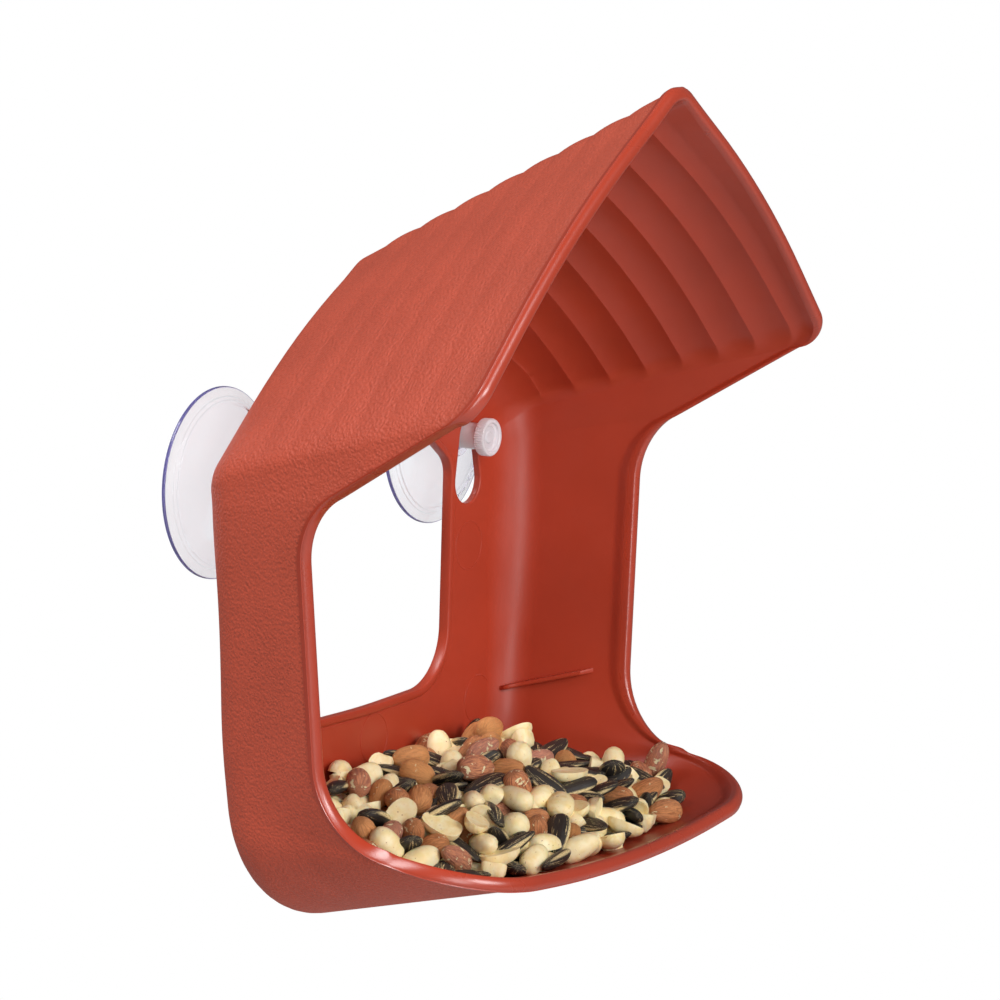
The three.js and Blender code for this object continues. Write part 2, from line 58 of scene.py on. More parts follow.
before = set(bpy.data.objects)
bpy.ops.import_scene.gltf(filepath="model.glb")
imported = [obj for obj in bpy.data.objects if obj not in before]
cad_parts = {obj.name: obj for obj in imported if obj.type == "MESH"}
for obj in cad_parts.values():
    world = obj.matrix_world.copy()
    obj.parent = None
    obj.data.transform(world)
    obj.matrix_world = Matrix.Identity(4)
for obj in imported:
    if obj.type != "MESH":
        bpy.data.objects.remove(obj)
cad_box = [list(corner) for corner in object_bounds()]

MM = 0.001

# Shell: distance of its back face from the glass, and of the studs over the line of heights
BACK_OFF = 9.4
STUD_RISE = 1.5

# Corners of the shell's three loops in millimetres, from the top middle down to the bottom middle:
# distance from the middle plane, depth from the back face, height, and radius of the round
RIM = [(0, 98.4, 106.3, 11), None, (90.6, 93, 32.6, 10.9), (84.6, 38.6, 1, 22), (76.9, 38.6, -82.1, 23),
       (75.4, 85.6, -92, 28), (0, 88.8, -98.5, 480)]
RIM_BOW = 6.3
BACK = [(0, 0, 55.2, 10), None, (75.6, 0, 7.7, 7.1), None, None, (66.4, 0, -115.4, 32), (0, 0, -115.4, 0)]
BACK_BOW = 5.1
BACK_EDGE = (5.8, 15)
WINDOW = [(0, 0, 28, 9), None, (42.4, 0, -4.6, 7), None, None, (39.3, 0, -64.4, 16), (0, 0, -65.4, 400)]

# Radius of the round on a bowed edge; places of the two stretches of the side line that stay straight
# and their half lengths, as shares of it; and the share of an edge that rounds at its ends may take up
BOW_RADIUS = 300
SIDE_SHARES = (0.14, 0.61)
SPAN_SHARES = (0.06, 0.1)
ROOM_SHARE = 0.98

# Steps round each corner and along the straight that leads to it, beside the marks that number them
ARC_STEPS = (16, 10, 14, 20, 16, 24, 16)
LEAD_STEPS = (0, 10, 10, 12, 8, 4, 10)
ARC_MARKS = (4, 4, 4, 6, 6, 6, 6)
LEAD_MARKS = (0, 1, 1, 3, 2, 1, 1)
ROOF_MARK = 8
EAVE_MARK = 11.5

# Roof flutes: depth of the first valley, number, and places of the rows within one, as shares of it
FLUTE_FIRST = 10.7
FLUTE_COUNT = 8
ARCH_SHARES = (0, 0.03, 0.1, 0.22, 0.36, 0.5, 0.64, 0.78, 0.9, 0.97)

# Finishes of the shell, in the order of its materials
PEBBLED, SATIN, POLISHED = range(3)

# Distance of the studs' axes from the middle plane, and of the keyhole's wide end below the stud;
# radii of its two ends
CUP_X = 52
KEYHOLE_DROP = 12.4
SLOT_RADIUS = 3.95
HOLE_RADIUS = 6.35

# Ribs on the inner side walls: depth of both ends, length of the sloped front end, height at the back
# and rise to the front, reach off the wall, thickness, and how far the root stands in the wall
RIB_BACK = 4
RIB_FRONT = 29
RIB_END = 2.4
RIB_HEIGHT = -71.6
RIB_RISE = 6.2
RIB_REACH = 2.2
RIB_THICKNESS = 1.3
RIB_ROOT = 1

# Rings that ejector pins left on the back wall: places across and up, and radius
RING_PLACES = ((-52.2, -29), (52.2, -29), (-56.7, -72.6), (56.7, -72.6), (4, -74.4))
RING_RADIUS = 6.65

# Cup: inner and outer radius of its ring, hollow, wall of the dome, and hub; the stud's M5 thread
# between two distances off the glass; and the nut's knurls
RING_INNER = 23.4
CUP_RADIUS = 25
HOLLOW_HEIGHT = 4.2
DOME_WALL = 1.7
HUB_RADIUS = 6
HUB_TOP = 9.1
THREAD_RADIUS = 2.4
THREAD_START = 7.3
THREAD_END = 17.15
THREAD_PITCH = 0.8
THREAD_DEPTH = 0.36
KNURLS = 50
KNURL_DEPTH = 0.24

# Seed: number, and length, width and thickness in millimetres, of each kind; and the heap, as the
# middle and the half axes of an ellipsoid
SEED_KINDS = {
    "skin_peanuts": (150, 11.2, 6.8, 6.4),
    "blanched_peanuts": (96, 10.4, 7.0, 6.6),
    "peanut_halves": (150, 11.0, 7.1, 3.6),
    "peanut_pieces": (160, 6.8, 5.5, 4.2),
    "sunflower_seeds": (280, 14.2, 6.6, 3.3),
}
HEAP_MIDDLE = (10, 8, -116)
HEAP_HALF = (98, 68, 50)

# Where the seeds start: height of the tray's floor at the back, half its width, and range of depths
TRAY_FLOOR = -115.4
TRAY_HALF_WIDTH = 73
TRAY_DEPTHS = (7, 74)

WHITE = (1, 1, 1, 1)
LAMP_TARGET = Vector((0, -0.05, 0))


def unit(v):
    return v / np.linalg.norm(v, axis=-1, keepdims=True)


def smooth(t):
    t = np.clip(t, 0, 1)
    return t * t * (3 - 2 * t)


def spot(x, depth, height):
    """A point of the shell in metres, from millimetres off the middle plane, from the back face and
    over the line of heights."""
    return np.array([x, -BACK_OFF - depth, height - STUD_RISE]) * MM


def mirrored(points):
    return points * np.array([-1, 1, 1])


def arc(before, at, after, radius, share):
    """Circle arc that rounds the corner `at`: centre + spoke * cos(angle) + way in * radius * sin(angle),
    with the angle running from 0 to the corner's turn as share runs from 0 to 1."""
    into, out = unit(at - before), unit(after - at)
    turn = np.arccos(np.clip((into * out).sum(-1), -1, 1))
    centre = at + unit(out - into) * (radius / np.cos(turn / 2))[..., None]
    spoke = at - into * (radius * np.tan(turn / 2))[..., None] - centre
    angle = turn * share
    return centre + spoke * np.cos(angle)[..., None] + into * (radius * np.sin(angle))[..., None]


def half_loop(corners):
    """Right half of a loop and the mark of each point. Corners are rounded by arcs; those with a span
    have a straight stretch of that half length instead, and rounds that would meet are drawn in."""
    at = np.array([c[0] for c in corners])
    radius = np.array([c[1] for c in corners], float)
    span = np.array([c[2] for c in corners], float)
    before = np.vstack([mirrored(at[1]), at[:-1]])
    after = np.vstack([at[1:], mirrored(at[-2])])
    into, out = unit(at - before), unit(after - at)
    turn = np.arccos(np.clip((into * out).sum(-1), -1, 1))
    reach = np.where(span > 0, span, radius * np.tan(turn / 2))
    room = ROOM_SHARE * np.linalg.norm(np.diff(at, axis=0), axis=1) / (reach[1:] + reach[:-1])
    shrink = np.minimum(1, np.minimum(np.append(1, room), np.append(room, 1)))
    points, marks, mark = [], [], 0
    for c in range(len(corners)):
        first = 0 if c else 0.5
        last = 1 if c < len(corners) - 1 else 0.5
        share = np.linspace(first, last, round(ARC_STEPS[c] * (last - first)) + 1)
        if span[c] > 0:
            way = np.where(share[:, None] < 0.5, into[c], out[c])
            run = at[c] + way * (span[c] * shrink[c] * (2 * share - 1))[:, None]
        else:
            run = arc(before[c], at[c], after[c], np.array(radius[c] * shrink[c]), share)
        if c:
            lead = np.arange(1, LEAD_STEPS[c]) / LEAD_STEPS[c]
            points.append(points[-1][-1] + (run[0] - points[-1][-1]) * lead[:, None])
            marks.append(mark + LEAD_MARKS[c] * lead)
            mark += LEAD_MARKS[c]
        points.append(run)
        marks.append(mark + ARC_MARKS[c] * (share - first))
        mark += ARC_MARKS[c] * (last - first)
    return np.vstack(points), np.concatenate(marks)


def closed(half):
    """A whole loop from its right half."""
    return np.vstack([half, mirrored(half[-2:0:-1])])


def bowed(a, b, bow):
    """The middle of an edge, pushed out square to it in the upright plane."""
    run = b - a
    return (a + b) / 2 + unit(np.array([-run[2], 0, run[0]])) * bow * MM


def loop_corners(table, bow):
    """Corners of one loop as point, radius and span, with the bowed middle of the slope filled in and
    the two straight places on the side line."""
    top, eave = spot(*table[0][:3]), spot(*table[2][:3])
    foot = spot(*table[5][:3])
    corners = [(spot(*c[:3]), c[3] * MM, 0) if c else None for c in table]
    if bow:
        corners[1] = (bowed(top, eave, bow), BOW_RADIUS * MM, 0)
    else:
        corners[1] = ((top + eave) / 2, 0, SPAN_SHARES[0] * np.linalg.norm(foot - eave))
    for c, share, span in zip((3, 4), SIDE_SHARES, SPAN_SHARES):
        if corners[c] is None:
            corners[c] = (eave + (foot - eave) * share, 0, span * np.linalg.norm(foot - eave))
    if table[6][3] == 0:
        corners[6] = (corners[6][0], 0, table[5][0] / 2 * MM)
    return corners


def flute_rise(depth, height, pitch):
    """Rise of the roof's flutes over their valleys: a row of low parabolas 4h s(1 - s), the last of
    which keeps its crest up to the rim. Depth is in metres from the back face."""
    turns = (depth - FLUTE_FIRST * MM) / pitch
    last = FLUTE_COUNT - 1
    s = np.where(turns > last, np.minimum(turns - last, 0.5), turns - np.floor(turns))
    return np.where(turns < 0, 0, 4 * height * s * (1 - s))


class ShellForm:
    """The shell's outside as a surface of two parameters: the column round the loops, and a share
    that runs round the back edge from 0 to 1 and on in straight lines to the rim from 1 to 2."""

    def __init__(self):
        rim, marks = half_loop(loop_corners(RIM, RIM_BOW))
        self.rim = closed(rim)
        self.back = closed(half_loop(loop_corners(BACK, BACK_BOW))[0])
        self.window = closed(half_loop(loop_corners(WINDOW, 0))[0])
        self.marks = np.concatenate([marks, marks[-2:0:-1]])
        over_roof = np.minimum(self.marks / ROOF_MARK, 1)
        self.edge = (BACK_EDGE[0] + (BACK_EDGE[1] - BACK_EDGE[0]) * over_roof) * MM
        self.fade = 1 - smooth((self.marks - ROOF_MARK) / (EAVE_MARK - ROOF_MARK))

    def outside(self, share, step=0):
        loops = (self.rim, self.back, self.window)
        rim, back, window = (np.roll(loop, -step, axis=0)[:, None] for loop in loops)
        edge = np.roll(self.edge, -step)[:, None]
        turned = arc(window, back, rim, edge, np.minimum(share, 1))
        return turned + (rim - turned) * np.maximum(share - 1, 0)[..., None]

    def outward(self, share):
        little = 0.01
        ahead, behind = np.minimum(share + little, 2), np.maximum(share - little, 0)
        forward = self.outside(ahead) - self.outside(behind)
        around = self.outside(share, 1) - self.outside(share, -1)
        return unit(np.cross(forward, around))


def grid_faces(rows, columns, wrap_rows=True, wrap_columns=True):
    """Quads between neighbouring points of a grid whose points are numbered row by row."""
    r, c = np.meshgrid(np.arange(rows if wrap_rows else rows - 1),
                       np.arange(columns if wrap_columns else columns - 1), indexing="ij")
    r1, c1 = (r + 1) % rows, (c + 1) % columns
    quads = np.stack([r * columns + c, r1 * columns + c, r1 * columns + c1, r * columns + c1], -1)
    return quads.reshape(-1, 4)


def tube_faces(rows, sides):
    """Faces of a closed tube: the quads round it and its two ends."""
    ends = [list(range(sides))[::-1], [(rows - 1) * sides + k for k in range(sides)]]
    return grid_faces(rows, sides, False, True).tolist() + ends


def shell_grid(sizes):
    """Points of the shell as columns by rows, with the finish of each row.

    Each column is one closed run: window edge, back face, back edge, side with its flutes, rim,
    and the same way back on the inside, one wall further in, to the bead round the window."""
    form = ShellForm()
    columns = len(form.rim)

    def whole(value):
        return np.full((columns, 1), float(value))

    def depth_of(points):
        return -points[..., 1] - BACK_OFF * MM

    # Rows along the side: on the roof they follow the flutes, further down they spread evenly
    valleys = FLUTE_FIRST * MM + sizes.flute_pitch * np.arange(FLUTE_COUNT)
    steps = np.array(ARCH_SHARES) * sizes.flute_pitch
    levels = np.concatenate([(valleys[:-1, None] + steps).ravel(), valleys[-1] + steps[:6]])
    start = depth_of(form.outside(whole(1)))
    length = depth_of(form.rim)[:, None] - start
    roof = (levels - start) / length
    at_eave = int(np.argmin(np.abs(form.marks[: columns // 2] - ROOF_MARK)))
    on_roof = (form.marks <= form.marks[at_eave])[:, None]
    even = (np.arange(len(levels)) + 1) / (len(levels) + 1)
    away = smooth((form.marks - ROOF_MARK) / 5)[:, None]
    run = np.linalg.norm(form.rim[:, None] - form.outside(whole(1)), axis=-1)
    room = 1 - (sizes.rim_band + 0.4 * MM) / run
    off_roof = roof[at_eave] * (1 - away) + even * away
    off_roof = off_roof * np.minimum(1, room / off_roof[:, -1:])
    side = 1 + np.where(on_roof, roof, off_roof)
    rise = flute_rise(levels, 1, sizes.flute_pitch) * form.fade[:, None]
    from_ridge = np.abs(form.rim[:, 0])[:, None] / MM
    soft = sizes.flute_height * (1 - 0.6 * smooth((from_ridge - 3) / 12))
    deep = sizes.flute_height + (sizes.inner_flute_height - sizes.flute_height) * smooth(from_ridge / 8)
    wall, inner = sizes.wall, sizes.wall + sizes.rim_inner_step

    def skin(share, out):
        return form.outside(share) + form.outward(share) * np.broadcast_to(out, share.shape)[..., None]

    rows, finish = [], []

    def add(points, kind):
        rows.append(points)
        finish.extend([kind] * points.shape[1])

    # Window edge and back face
    foot = form.outside(whole(0))[:, 0]
    spoke = unit(foot - form.window)
    to_front = np.array([0, -1, 0])

    def at_window(width, depth):
        width, depth = np.array(width) * MM, np.array(depth) * MM
        return form.window[:, None] + spoke[:, None] * width[:, None] + to_front * depth[:, None]

    add(at_window([0, 0.09, 0.3], [0.3, 0.09, 0]), SATIN)
    across = np.array([0.1, 0.35, 0.7])
    add(form.window[:, None] + (foot - form.window)[:, None] * across[:, None], PEBBLED)
    edge_shares = np.tile(np.linspace(0, 1, 13), (columns, 1))
    add(skin(edge_shares, 0), PEBBLED)
    add(skin(side, rise * soft), PEBBLED)

    # Rim: a groove beside the skin, a flat band, the thin line where the mould halves meet, and a
    # bead that is half an ellipse: setback = ledge (1 - sin t), out = middle + half width * cos t
    forward = unit(form.rim - form.outside(whole(1))[:, 0])
    front_out = form.outward(whole(2))[:, 0]
    lift = (soft * form.fade[:, None])[:, 0]

    def at_rim(setback, out):
        setback, out = np.array(setback) * MM, np.array(out) * MM
        return (form.rim[:, None] - forward[:, None] * setback[:, None]
                + front_out[:, None] * (out + lift[:, None])[..., None])

    band, step, inside = sizes.rim_band / MM, sizes.rim_step / MM, inner / MM
    ledge, parting_line, line_height, groove = 1.3, 1.06, 0.06, 0.08
    round_low, round_high = -inside, step - 0.1
    turn = np.radians(np.linspace(18, 180, 15))
    add(at_rim([band + 0.3, band + 0.14, band + 0.02], [0, -groove, -groove]), PEBBLED)
    add(at_rim([band - 0.06, band - 0.18, band - 0.4, 1.6, parting_line + groove],
               [step - 0.12, step - 0.02, step, step, step]), SATIN)
    add(at_rim([parting_line, parting_line - 0.04, parting_line - 0.11, parting_line - 0.15],
               [step, step + line_height, step + line_height, step - 0.05]), POLISHED)
    add(at_rim(ledge - ledge * np.sin(turn),
               (round_high + round_low) / 2 + (round_high - round_low) / 2 * np.cos(turn)), POLISHED)
    add(at_rim([1.9], [-inside]), POLISHED)

    # Inside: a wall further in, thicker near the rim, then round the back edge to the window's bead
    inner_shares = np.hstack([np.broadcast_to(2 - sizes.rim_band / run, (columns, 1)), side[:, ::-1]])
    inner_rise = np.hstack([lift[:, None], (rise * deep)[:, ::-1]])
    off_band = (2 - inner_shares) * run - sizes.rim_band
    thick = wall + sizes.rim_inner_step * (1 - smooth(off_band / (4 * MM)))
    add(skin(inner_shares, inner_rise - thick), SATIN)
    add(skin(edge_shares[:, ::-1], -wall), SATIN)
    inner_foot = foot + to_front * wall
    inner_edge = form.window + to_front * wall
    add(inner_foot[:, None] + (inner_edge - inner_foot)[:, None] * np.array([0.3, 0.65])[:, None], SATIN)
    w, width = wall / MM, sizes.bead_width / MM
    bead = w + sizes.bead_height / MM
    add(at_window([width + 1.1, width + 0.75, width + 0.5], [w, w - 0.02, w - 0.16]), SATIN)
    add(at_window([width + 0.25, width + 0.05, width - 0.05], [w - 0.16, w + 0.1, w + 0.45]), SATIN)
    top = np.linspace(0, np.pi, 9)[1:]
    middle = (width - 0.05) / 2
    add(at_window(middle + middle * np.cos(top), bead - 0.45 + 0.45 * np.sin(top)), SATIN)
    add(at_window([0], [w - 0.3]), SATIN)
    return np.concatenate(rows, axis=1), np.array(finish)


def keyhole_cutter(side, sizes):
    """A prism over the pear outline: a small circle round the stud and a wide one below it, joined by
    their outer tangents. The outline swells by r - sqrt(r^2 - t^2) near both faces of the wall, which
    leaves rounded edges."""
    lean = math.asin((HOLE_RADIUS - SLOT_RADIUS) / KEYHOLE_DROP)
    top = np.linspace(lean, math.pi - lean, 24)
    low = np.linspace(math.pi - lean, 2 * math.pi + lean, 40)
    angle = np.concatenate([top, low])
    radius = np.repeat([SLOT_RADIUS, HOLE_RADIUS], [len(top), len(low)])
    centre = np.repeat([0, -KEYHOLE_DROP], [len(top), len(low)])
    t = np.linspace(0, 1, 7)
    back_round, front_round, skin = 0.3, 0.55, 0.01
    front = sizes.wall / MM - skin
    depth = np.concatenate([[-2, -skin / 2], back_round * t[1:], front - front_round * t[::-1], [4]])
    grow_back = back_round - np.sqrt(back_round ** 2 - (back_round * (1 - t[1:])) ** 2)
    grow_front = front_round - np.sqrt(front_round ** 2 - (front_round * t) ** 2)
    grow = np.concatenate([[back_round, back_round], grow_back, grow_front, [front_round]])
    r = radius[None] + grow[:, None]
    points = np.stack([side * CUP_X + r * np.cos(angle),
                       -BACK_OFF - np.broadcast_to(depth[:, None], r.shape),
                       centre + r * np.sin(angle)], -1)
    return points.reshape(-1, 3) * MM, tube_faces(len(depth), len(angle))


def half_width_inside(sizes, depth, height):
    """Half the width inside the shell at depths and heights in millimetres: where the shell's columns
    pass the depth, and between the two of them that lie next above and below the height."""
    form = ShellForm()
    middle = len(form.rim) // 2
    shares = np.tile(np.linspace(0, 2, 201), (len(form.rim), 1))
    inside = ((form.outside(shares) - form.outward(shares) * sizes.wall) / MM)[:middle]
    width = []
    for d, h in zip(depth, height):
        at = [[np.interp(d + BACK_OFF, -column[:, 1], column[:, k]) for k in (2, 0)] for column in inside]
        z, x = np.array(at)[::-1].T
        width.append(np.interp(h - STUD_RISE, z, x))
    return np.array(width)


def rib_grid(side, sizes):
    """A thin blade along the inner side wall: its root follows the wall, its free edge is a straight
    chord, rounded at the back and sloped at the front, and its section is a strip with a round edge."""
    slope = RIB_FRONT - RIB_END
    depth = np.concatenate([RIB_BACK + np.array([0, 0.25, 0.6, 1.1, 1.8]),
                            np.linspace(RIB_BACK + 2.6, slope - 0.3, 34),
                            slope + RIB_END * np.array([0, 0.125, 1 / 3, 2 / 3, 1])])
    height = RIB_HEIGHT + RIB_RISE * (depth - RIB_BACK) / (RIB_FRONT - RIB_BACK)
    wall_x = half_width_inside(sizes, depth, height)
    chord = np.interp(depth, [RIB_BACK, slope, RIB_FRONT],
                      [wall_x[0], np.interp(slope, depth, wall_x) - RIB_REACH, wall_x[-1]])
    chord -= 1.1 * np.exp(-((depth - RIB_BACK - 2.3) / 2.2) ** 2) * smooth((depth - RIB_BACK) / 1.6)
    # Section: a superellipse whose half widths are half the reach and half the thickness
    sides, power = 24, 0.35
    angle = np.linspace(0, 2 * np.pi, sides, endpoint=False)
    across = np.sign(np.cos(angle)) * np.abs(np.cos(angle)) ** power
    up = np.sign(np.sin(angle)) * np.abs(np.sin(angle)) ** power
    root = wall_x + RIB_ROOT
    x = ((root + chord) / 2)[:, None] + (root - chord)[:, None] / 2 * across
    points = np.stack([side * x, np.broadcast_to(-BACK_OFF - depth[:, None], x.shape),
                       height[:, None] - STUD_RISE + RIB_THICKNESS / 2 * (1 + up) + 0 * x], -1)
    return points.reshape(-1, 3) * MM, tube_faces(len(depth), sides)


def ring_grid(x, height, sizes):
    """A faint ring that an ejector pin left on the inner back wall: a flat torus sunk in the wall."""
    around = np.linspace(0, 2 * np.pi, 64, endpoint=False)
    small = np.linspace(0, 2 * np.pi, 8, endpoint=False)
    r = RING_RADIUS + 0.22 * np.cos(small)[None]
    depth = sizes.wall / MM - 0.02 + 0.15 * np.sin(small)[None] + 0 * around[:, None]
    points = np.stack([x + r * np.cos(around)[:, None], -BACK_OFF - depth,
                       height - STUD_RISE + r * np.sin(around)[:, None]], -1)
    return points.reshape(-1, 3) * MM, grid_faces(len(around), len(small)).tolist()


def turned(profile, sides, x, wobble=None):
    """A closed profile of radius and distance off the glass, carried round the stud axis at x. Where
    wobble is given, it returns the radius for each angle and row."""
    profile = np.array(profile, float)
    around = np.linspace(0, 2 * np.pi, sides, endpoint=False)
    r = np.broadcast_to(profile[:, 0], (sides, len(profile)))
    if wobble is not None:
        r = wobble(around[:, None], r)
    off = np.broadcast_to(profile[:, 1], r.shape)
    points = np.stack([x + r * np.cos(around)[:, None], -off, r * np.sin(around)[:, None]], -1)
    return points.reshape(-1, 3) * MM, grid_faces(sides, len(profile), True, False).tolist()


def fillet(profile, reaches, steps=4):
    """Rounds the inner corners of a profile with quadratic curves that begin `reach` before a corner."""
    p = np.array(profile, float)
    out = [p[0]]
    t = np.linspace(0, 1, steps + 1)[:, None]
    for k in range(1, len(p) - 1):
        if reaches[k] == 0:
            out.append(p[k])
            continue
        a = p[k] + unit(p[k - 1] - p[k]) * min(reaches[k], np.linalg.norm(p[k - 1] - p[k]) * 0.49)
        b = p[k] + unit(p[k + 1] - p[k]) * min(reaches[k], np.linalg.norm(p[k + 1] - p[k]) * 0.49)
        out.extend(a * (1 - t) ** 2 + p[k] * 2 * t * (1 - t) + b * t ** 2)
    out.append(p[-1])
    return np.array(out)


def cup_profile():
    """Radius and distance off the glass: a parabola h(1 - (r/R)^2) inside, the flat ring, the edge, a
    band, two steps and the dome a wall above the hollow, then the hub with the pocket for the stud."""

    def hollow(r):
        return HOLLOW_HEIGHT * (1 - (r / RING_INNER) ** 2)

    r = np.linspace(0, RING_INNER, 18)
    inside = np.stack([r, hollow(r)], -1)
    edge = [(RING_INNER, 0), (CUP_RADIUS, 0), (CUP_RADIUS, 0.9), (22.6, 1.6), (22.35, 2.05), (21.7, 2.2),
            (21.4, 2.7), (20.7, 2.8), (20.2, 2.8)]
    edge = fillet(edge, [0, 0.2, 0.35, 0.15, 0.15, 0.12, 0.15, 0.15, 0], 3)
    r = np.linspace(20, HUB_RADIUS, 18)
    flare = 1.4 * np.maximum(0, 1 - (r - HUB_RADIUS) / 2.2) ** 2
    dome = np.stack([r, hollow(r) + DOME_WALL + flare], -1)
    pocket = [(2.7, HUB_TOP), (2.7, 6.9), (4.4, 6.9), (4.4, 5), (0, 5)]
    hub = fillet([dome[-1], (HUB_RADIUS, HUB_TOP), *pocket], [0, 0.6, 0.2, 0, 0.1, 0.2, 0], 3)
    return np.vstack([inside[:-1], edge, dome[:-1], hub])


def nut_profile():
    """Radius and distance off the glass of the thumb nut: bore up to its thin front, shoulder, knurled
    head, and a recess in two rings."""
    corners = [(0, 17.75), (2.7, 17.75), (2.7, 9.4), (3.65, 9.4), (3.65, 16.3), (5.2, 16.3), (5.2, 19.3),
               (3.95, 19.3), (3.85, 18.55), (3.1, 18.4), (3, 18.1), (1.7, 18.1), (1.5, 18.35), (0, 18.35)]
    return fillet(corners, [0, 0.1, 0.15, 0.3, 0.25, 0.45, 0.5, 0.3, 0.15, 0.15, 0.12, 0.12, 0.15, 0], 4)


def stud_profile():
    """Radius and distance off the glass of the stud: head, neck, the stretch that takes the thread in
    steps of a tenth of its pitch, and the cupped point."""
    top = [(0, 5.3), (4.1, 5.3), (4.1, 6.6), (2.35, 6.6)]
    head = fillet(top + [(2.35, 7.2)], [0, 0.3, 0.3, 0.2, 0], 3)
    off = np.arange(THREAD_START, THREAD_END, THREAD_PITCH / 10)
    thread = np.stack([np.full(len(off), THREAD_RADIUS), off], -1)
    return np.vstack([head, thread, [(2.2, 17.3), (1.9, 17.6), (1.2, 17.6), (1.0, 17.45), (0, 17.45)]])


def mended(mesh, weld=True):
    """Welds poles, takes out faces without area, and turns the normals outwards."""
    work = bmesh.new()
    work.from_mesh(mesh)
    if weld:
        bmesh.ops.remove_doubles(work, verts=work.verts, dist=1e-7)
        bmesh.ops.dissolve_degenerate(work, edges=work.edges, dist=1e-8)
    bmesh.ops.recalc_face_normals(work, faces=work.faces)
    work.to_mesh(mesh)
    work.free()
    return mesh


def new_mesh(name, parts):
    """One mesh from several (points, faces, material index) parts."""
    mesh = bpy.data.meshes.new(name)
    points, faces, indices, first = [], [], [], 0
    for part_points, part_faces, index in parts:
        points.append(part_points)
        faces.extend([[v + first for v in face] for face in part_faces])
        indices.extend(np.broadcast_to(index, len(part_faces)).tolist())
        first += len(part_points)
    mesh.from_pydata(np.vstack(points).tolist(), [], faces)
    mesh.polygons.foreach_set("material_index", indices)
    return mended(mesh)


def add_piece(name, mesh, materials, body, nodes, angle=math.radians(30)):
    """Puts a finished mesh into the scene as a piece that rides on a body and stands for CAD nodes."""
    for material in materials:
        mesh.materials.append(material)
    mesh.polygons.foreach_set("use_smooth", np.ones(len(mesh.polygons), bool))
    mesh.set_sharp_from_angle(angle=angle)
    piece = bpy.data.objects.new(name, mesh)
    bpy.context.scene.collection.objects.link(piece)
    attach(piece, body)
    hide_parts(*nodes)


def heap_top(x, depth):
    """Height of the heap in millimetres: the upper half of an ellipsoid over the tray, taken down in
    the tray's back corner on the right."""
    across = (x - HEAP_MIDDLE[0]) / HEAP_HALF[0]
    deep = (depth - HEAP_MIDDLE[1]) / HEAP_HALF[1]
    high = HEAP_HALF[2] * np.sqrt(np.maximum(0, 1 - across ** 2 - deep ** 2))
    return high * (1 - 0.75 * smooth((x - 40) / 24) * smooth((58 - depth) / 25)) + HEAP_MIDDLE[2]


def tray_walls(sizes):
    """The shell's inner walls as a tree of faces in millimetres, for finding the nearest point."""
    form = ShellForm()
    shares = np.tile(np.concatenate([np.linspace(0, 1, 8), np.linspace(1.08, 2, 12)]), (len(form.rim), 1))
    inside = form.outside(shares) - form.outward(shares) * sizes.wall
    edge = (form.window + np.array([0, -sizes.wall, 0]))[:, None]
    points = np.concatenate([edge, inside], axis=1)[::3]
    faces = grid_faces(points.shape[0], points.shape[1], True, False)
    return BVHTree.FromPolygons((points.reshape(-1, 3) / MM).tolist(), faces.tolist())


def settle(ends, length, radii, walls, steps):
    """Lets seeds come to rest. Each is three balls on a rod: the middle ball moves both ends alike.
    A step drops every rod a little, then pushes balls that overlap apart along the line between
    their middles, pushes balls out of the walls along the wall's normal, and sets each rod back to
    its length. A rod that moved less than friction allows in a step goes back to where it was. The
    fall grows less from step to step, and the list of near balls is made anew every few steps."""
    slowest, faster, pushes, refresh = 0.02, 0.38, 4, 6
    pair_reach, wall_reach, crowding, friction = 2.5, 12, 0.55, 0.6
    share = np.array([[1, 0], [0.5, 0.5], [0, 1]])
    middle = Vector((0, -45, -50))
    count = len(ends)
    owner = np.repeat(np.arange(count), 3)
    radius = radii.ravel()
    for step in range(steps):
        fall = slowest + faster * (1 - step / steps) ** 1.5
        before = ends.copy()
        ends[..., 2] -= fall
        if step % refresh == 0:
            balls = np.einsum("be,ked->kbd", share, ends).reshape(-1, 3)
            far = np.linalg.norm(balls[:, None] - balls[None], axis=-1)
            near = (far < radius[:, None] + radius[None] + pair_reach) & (owner[:, None] < owner[None])
            first, second = np.nonzero(near)
        for _ in range(pushes):
            balls = np.einsum("be,ked->kbd", share, ends).reshape(-1, 3)
            push, touches = np.zeros_like(balls), np.zeros(len(balls))
            apart = balls[second] - balls[first]
            distance = np.maximum(np.linalg.norm(apart, axis=1), 1e-6)
            overlap = np.maximum(radius[first] + radius[second] - distance, 0)
            move = apart * (overlap / distance * 0.5)[:, None]
            np.add.at(push, first, -move)
            np.add.at(push, second, move)
            np.add.at(touches, first, overlap > 0)
            np.add.at(touches, second, overlap > 0)
            push /= np.maximum(touches * crowding, 1)[:, None]
            for k, ball in enumerate(balls):
                point, normal, _, gap = walls.find_nearest(ball)
                if normal.dot(middle - point) < 0:
                    normal = -normal
                depth = radius[k] - (Vector(ball) - point).dot(normal)
                if depth > 0 and gap < wall_reach:
                    push[k] += np.array(normal) * depth
            push = push.reshape(count, 3, 3)
            ends += np.einsum("be,kbd->ked", share, push)
            rod = ends[:, 1] - ends[:, 0]
            long = np.maximum(np.linalg.norm(rod, axis=1), 1e-6)
            fix = rod * ((long - length) / long * 0.5)[:, None]
            ends[:, 0] += fix
            ends[:, 1] -= fix
        slip = np.linalg.norm(ends - before, axis=-1).max(axis=1)
        held = slip < friction * fall
        ends[held] = before[held]
    return ends


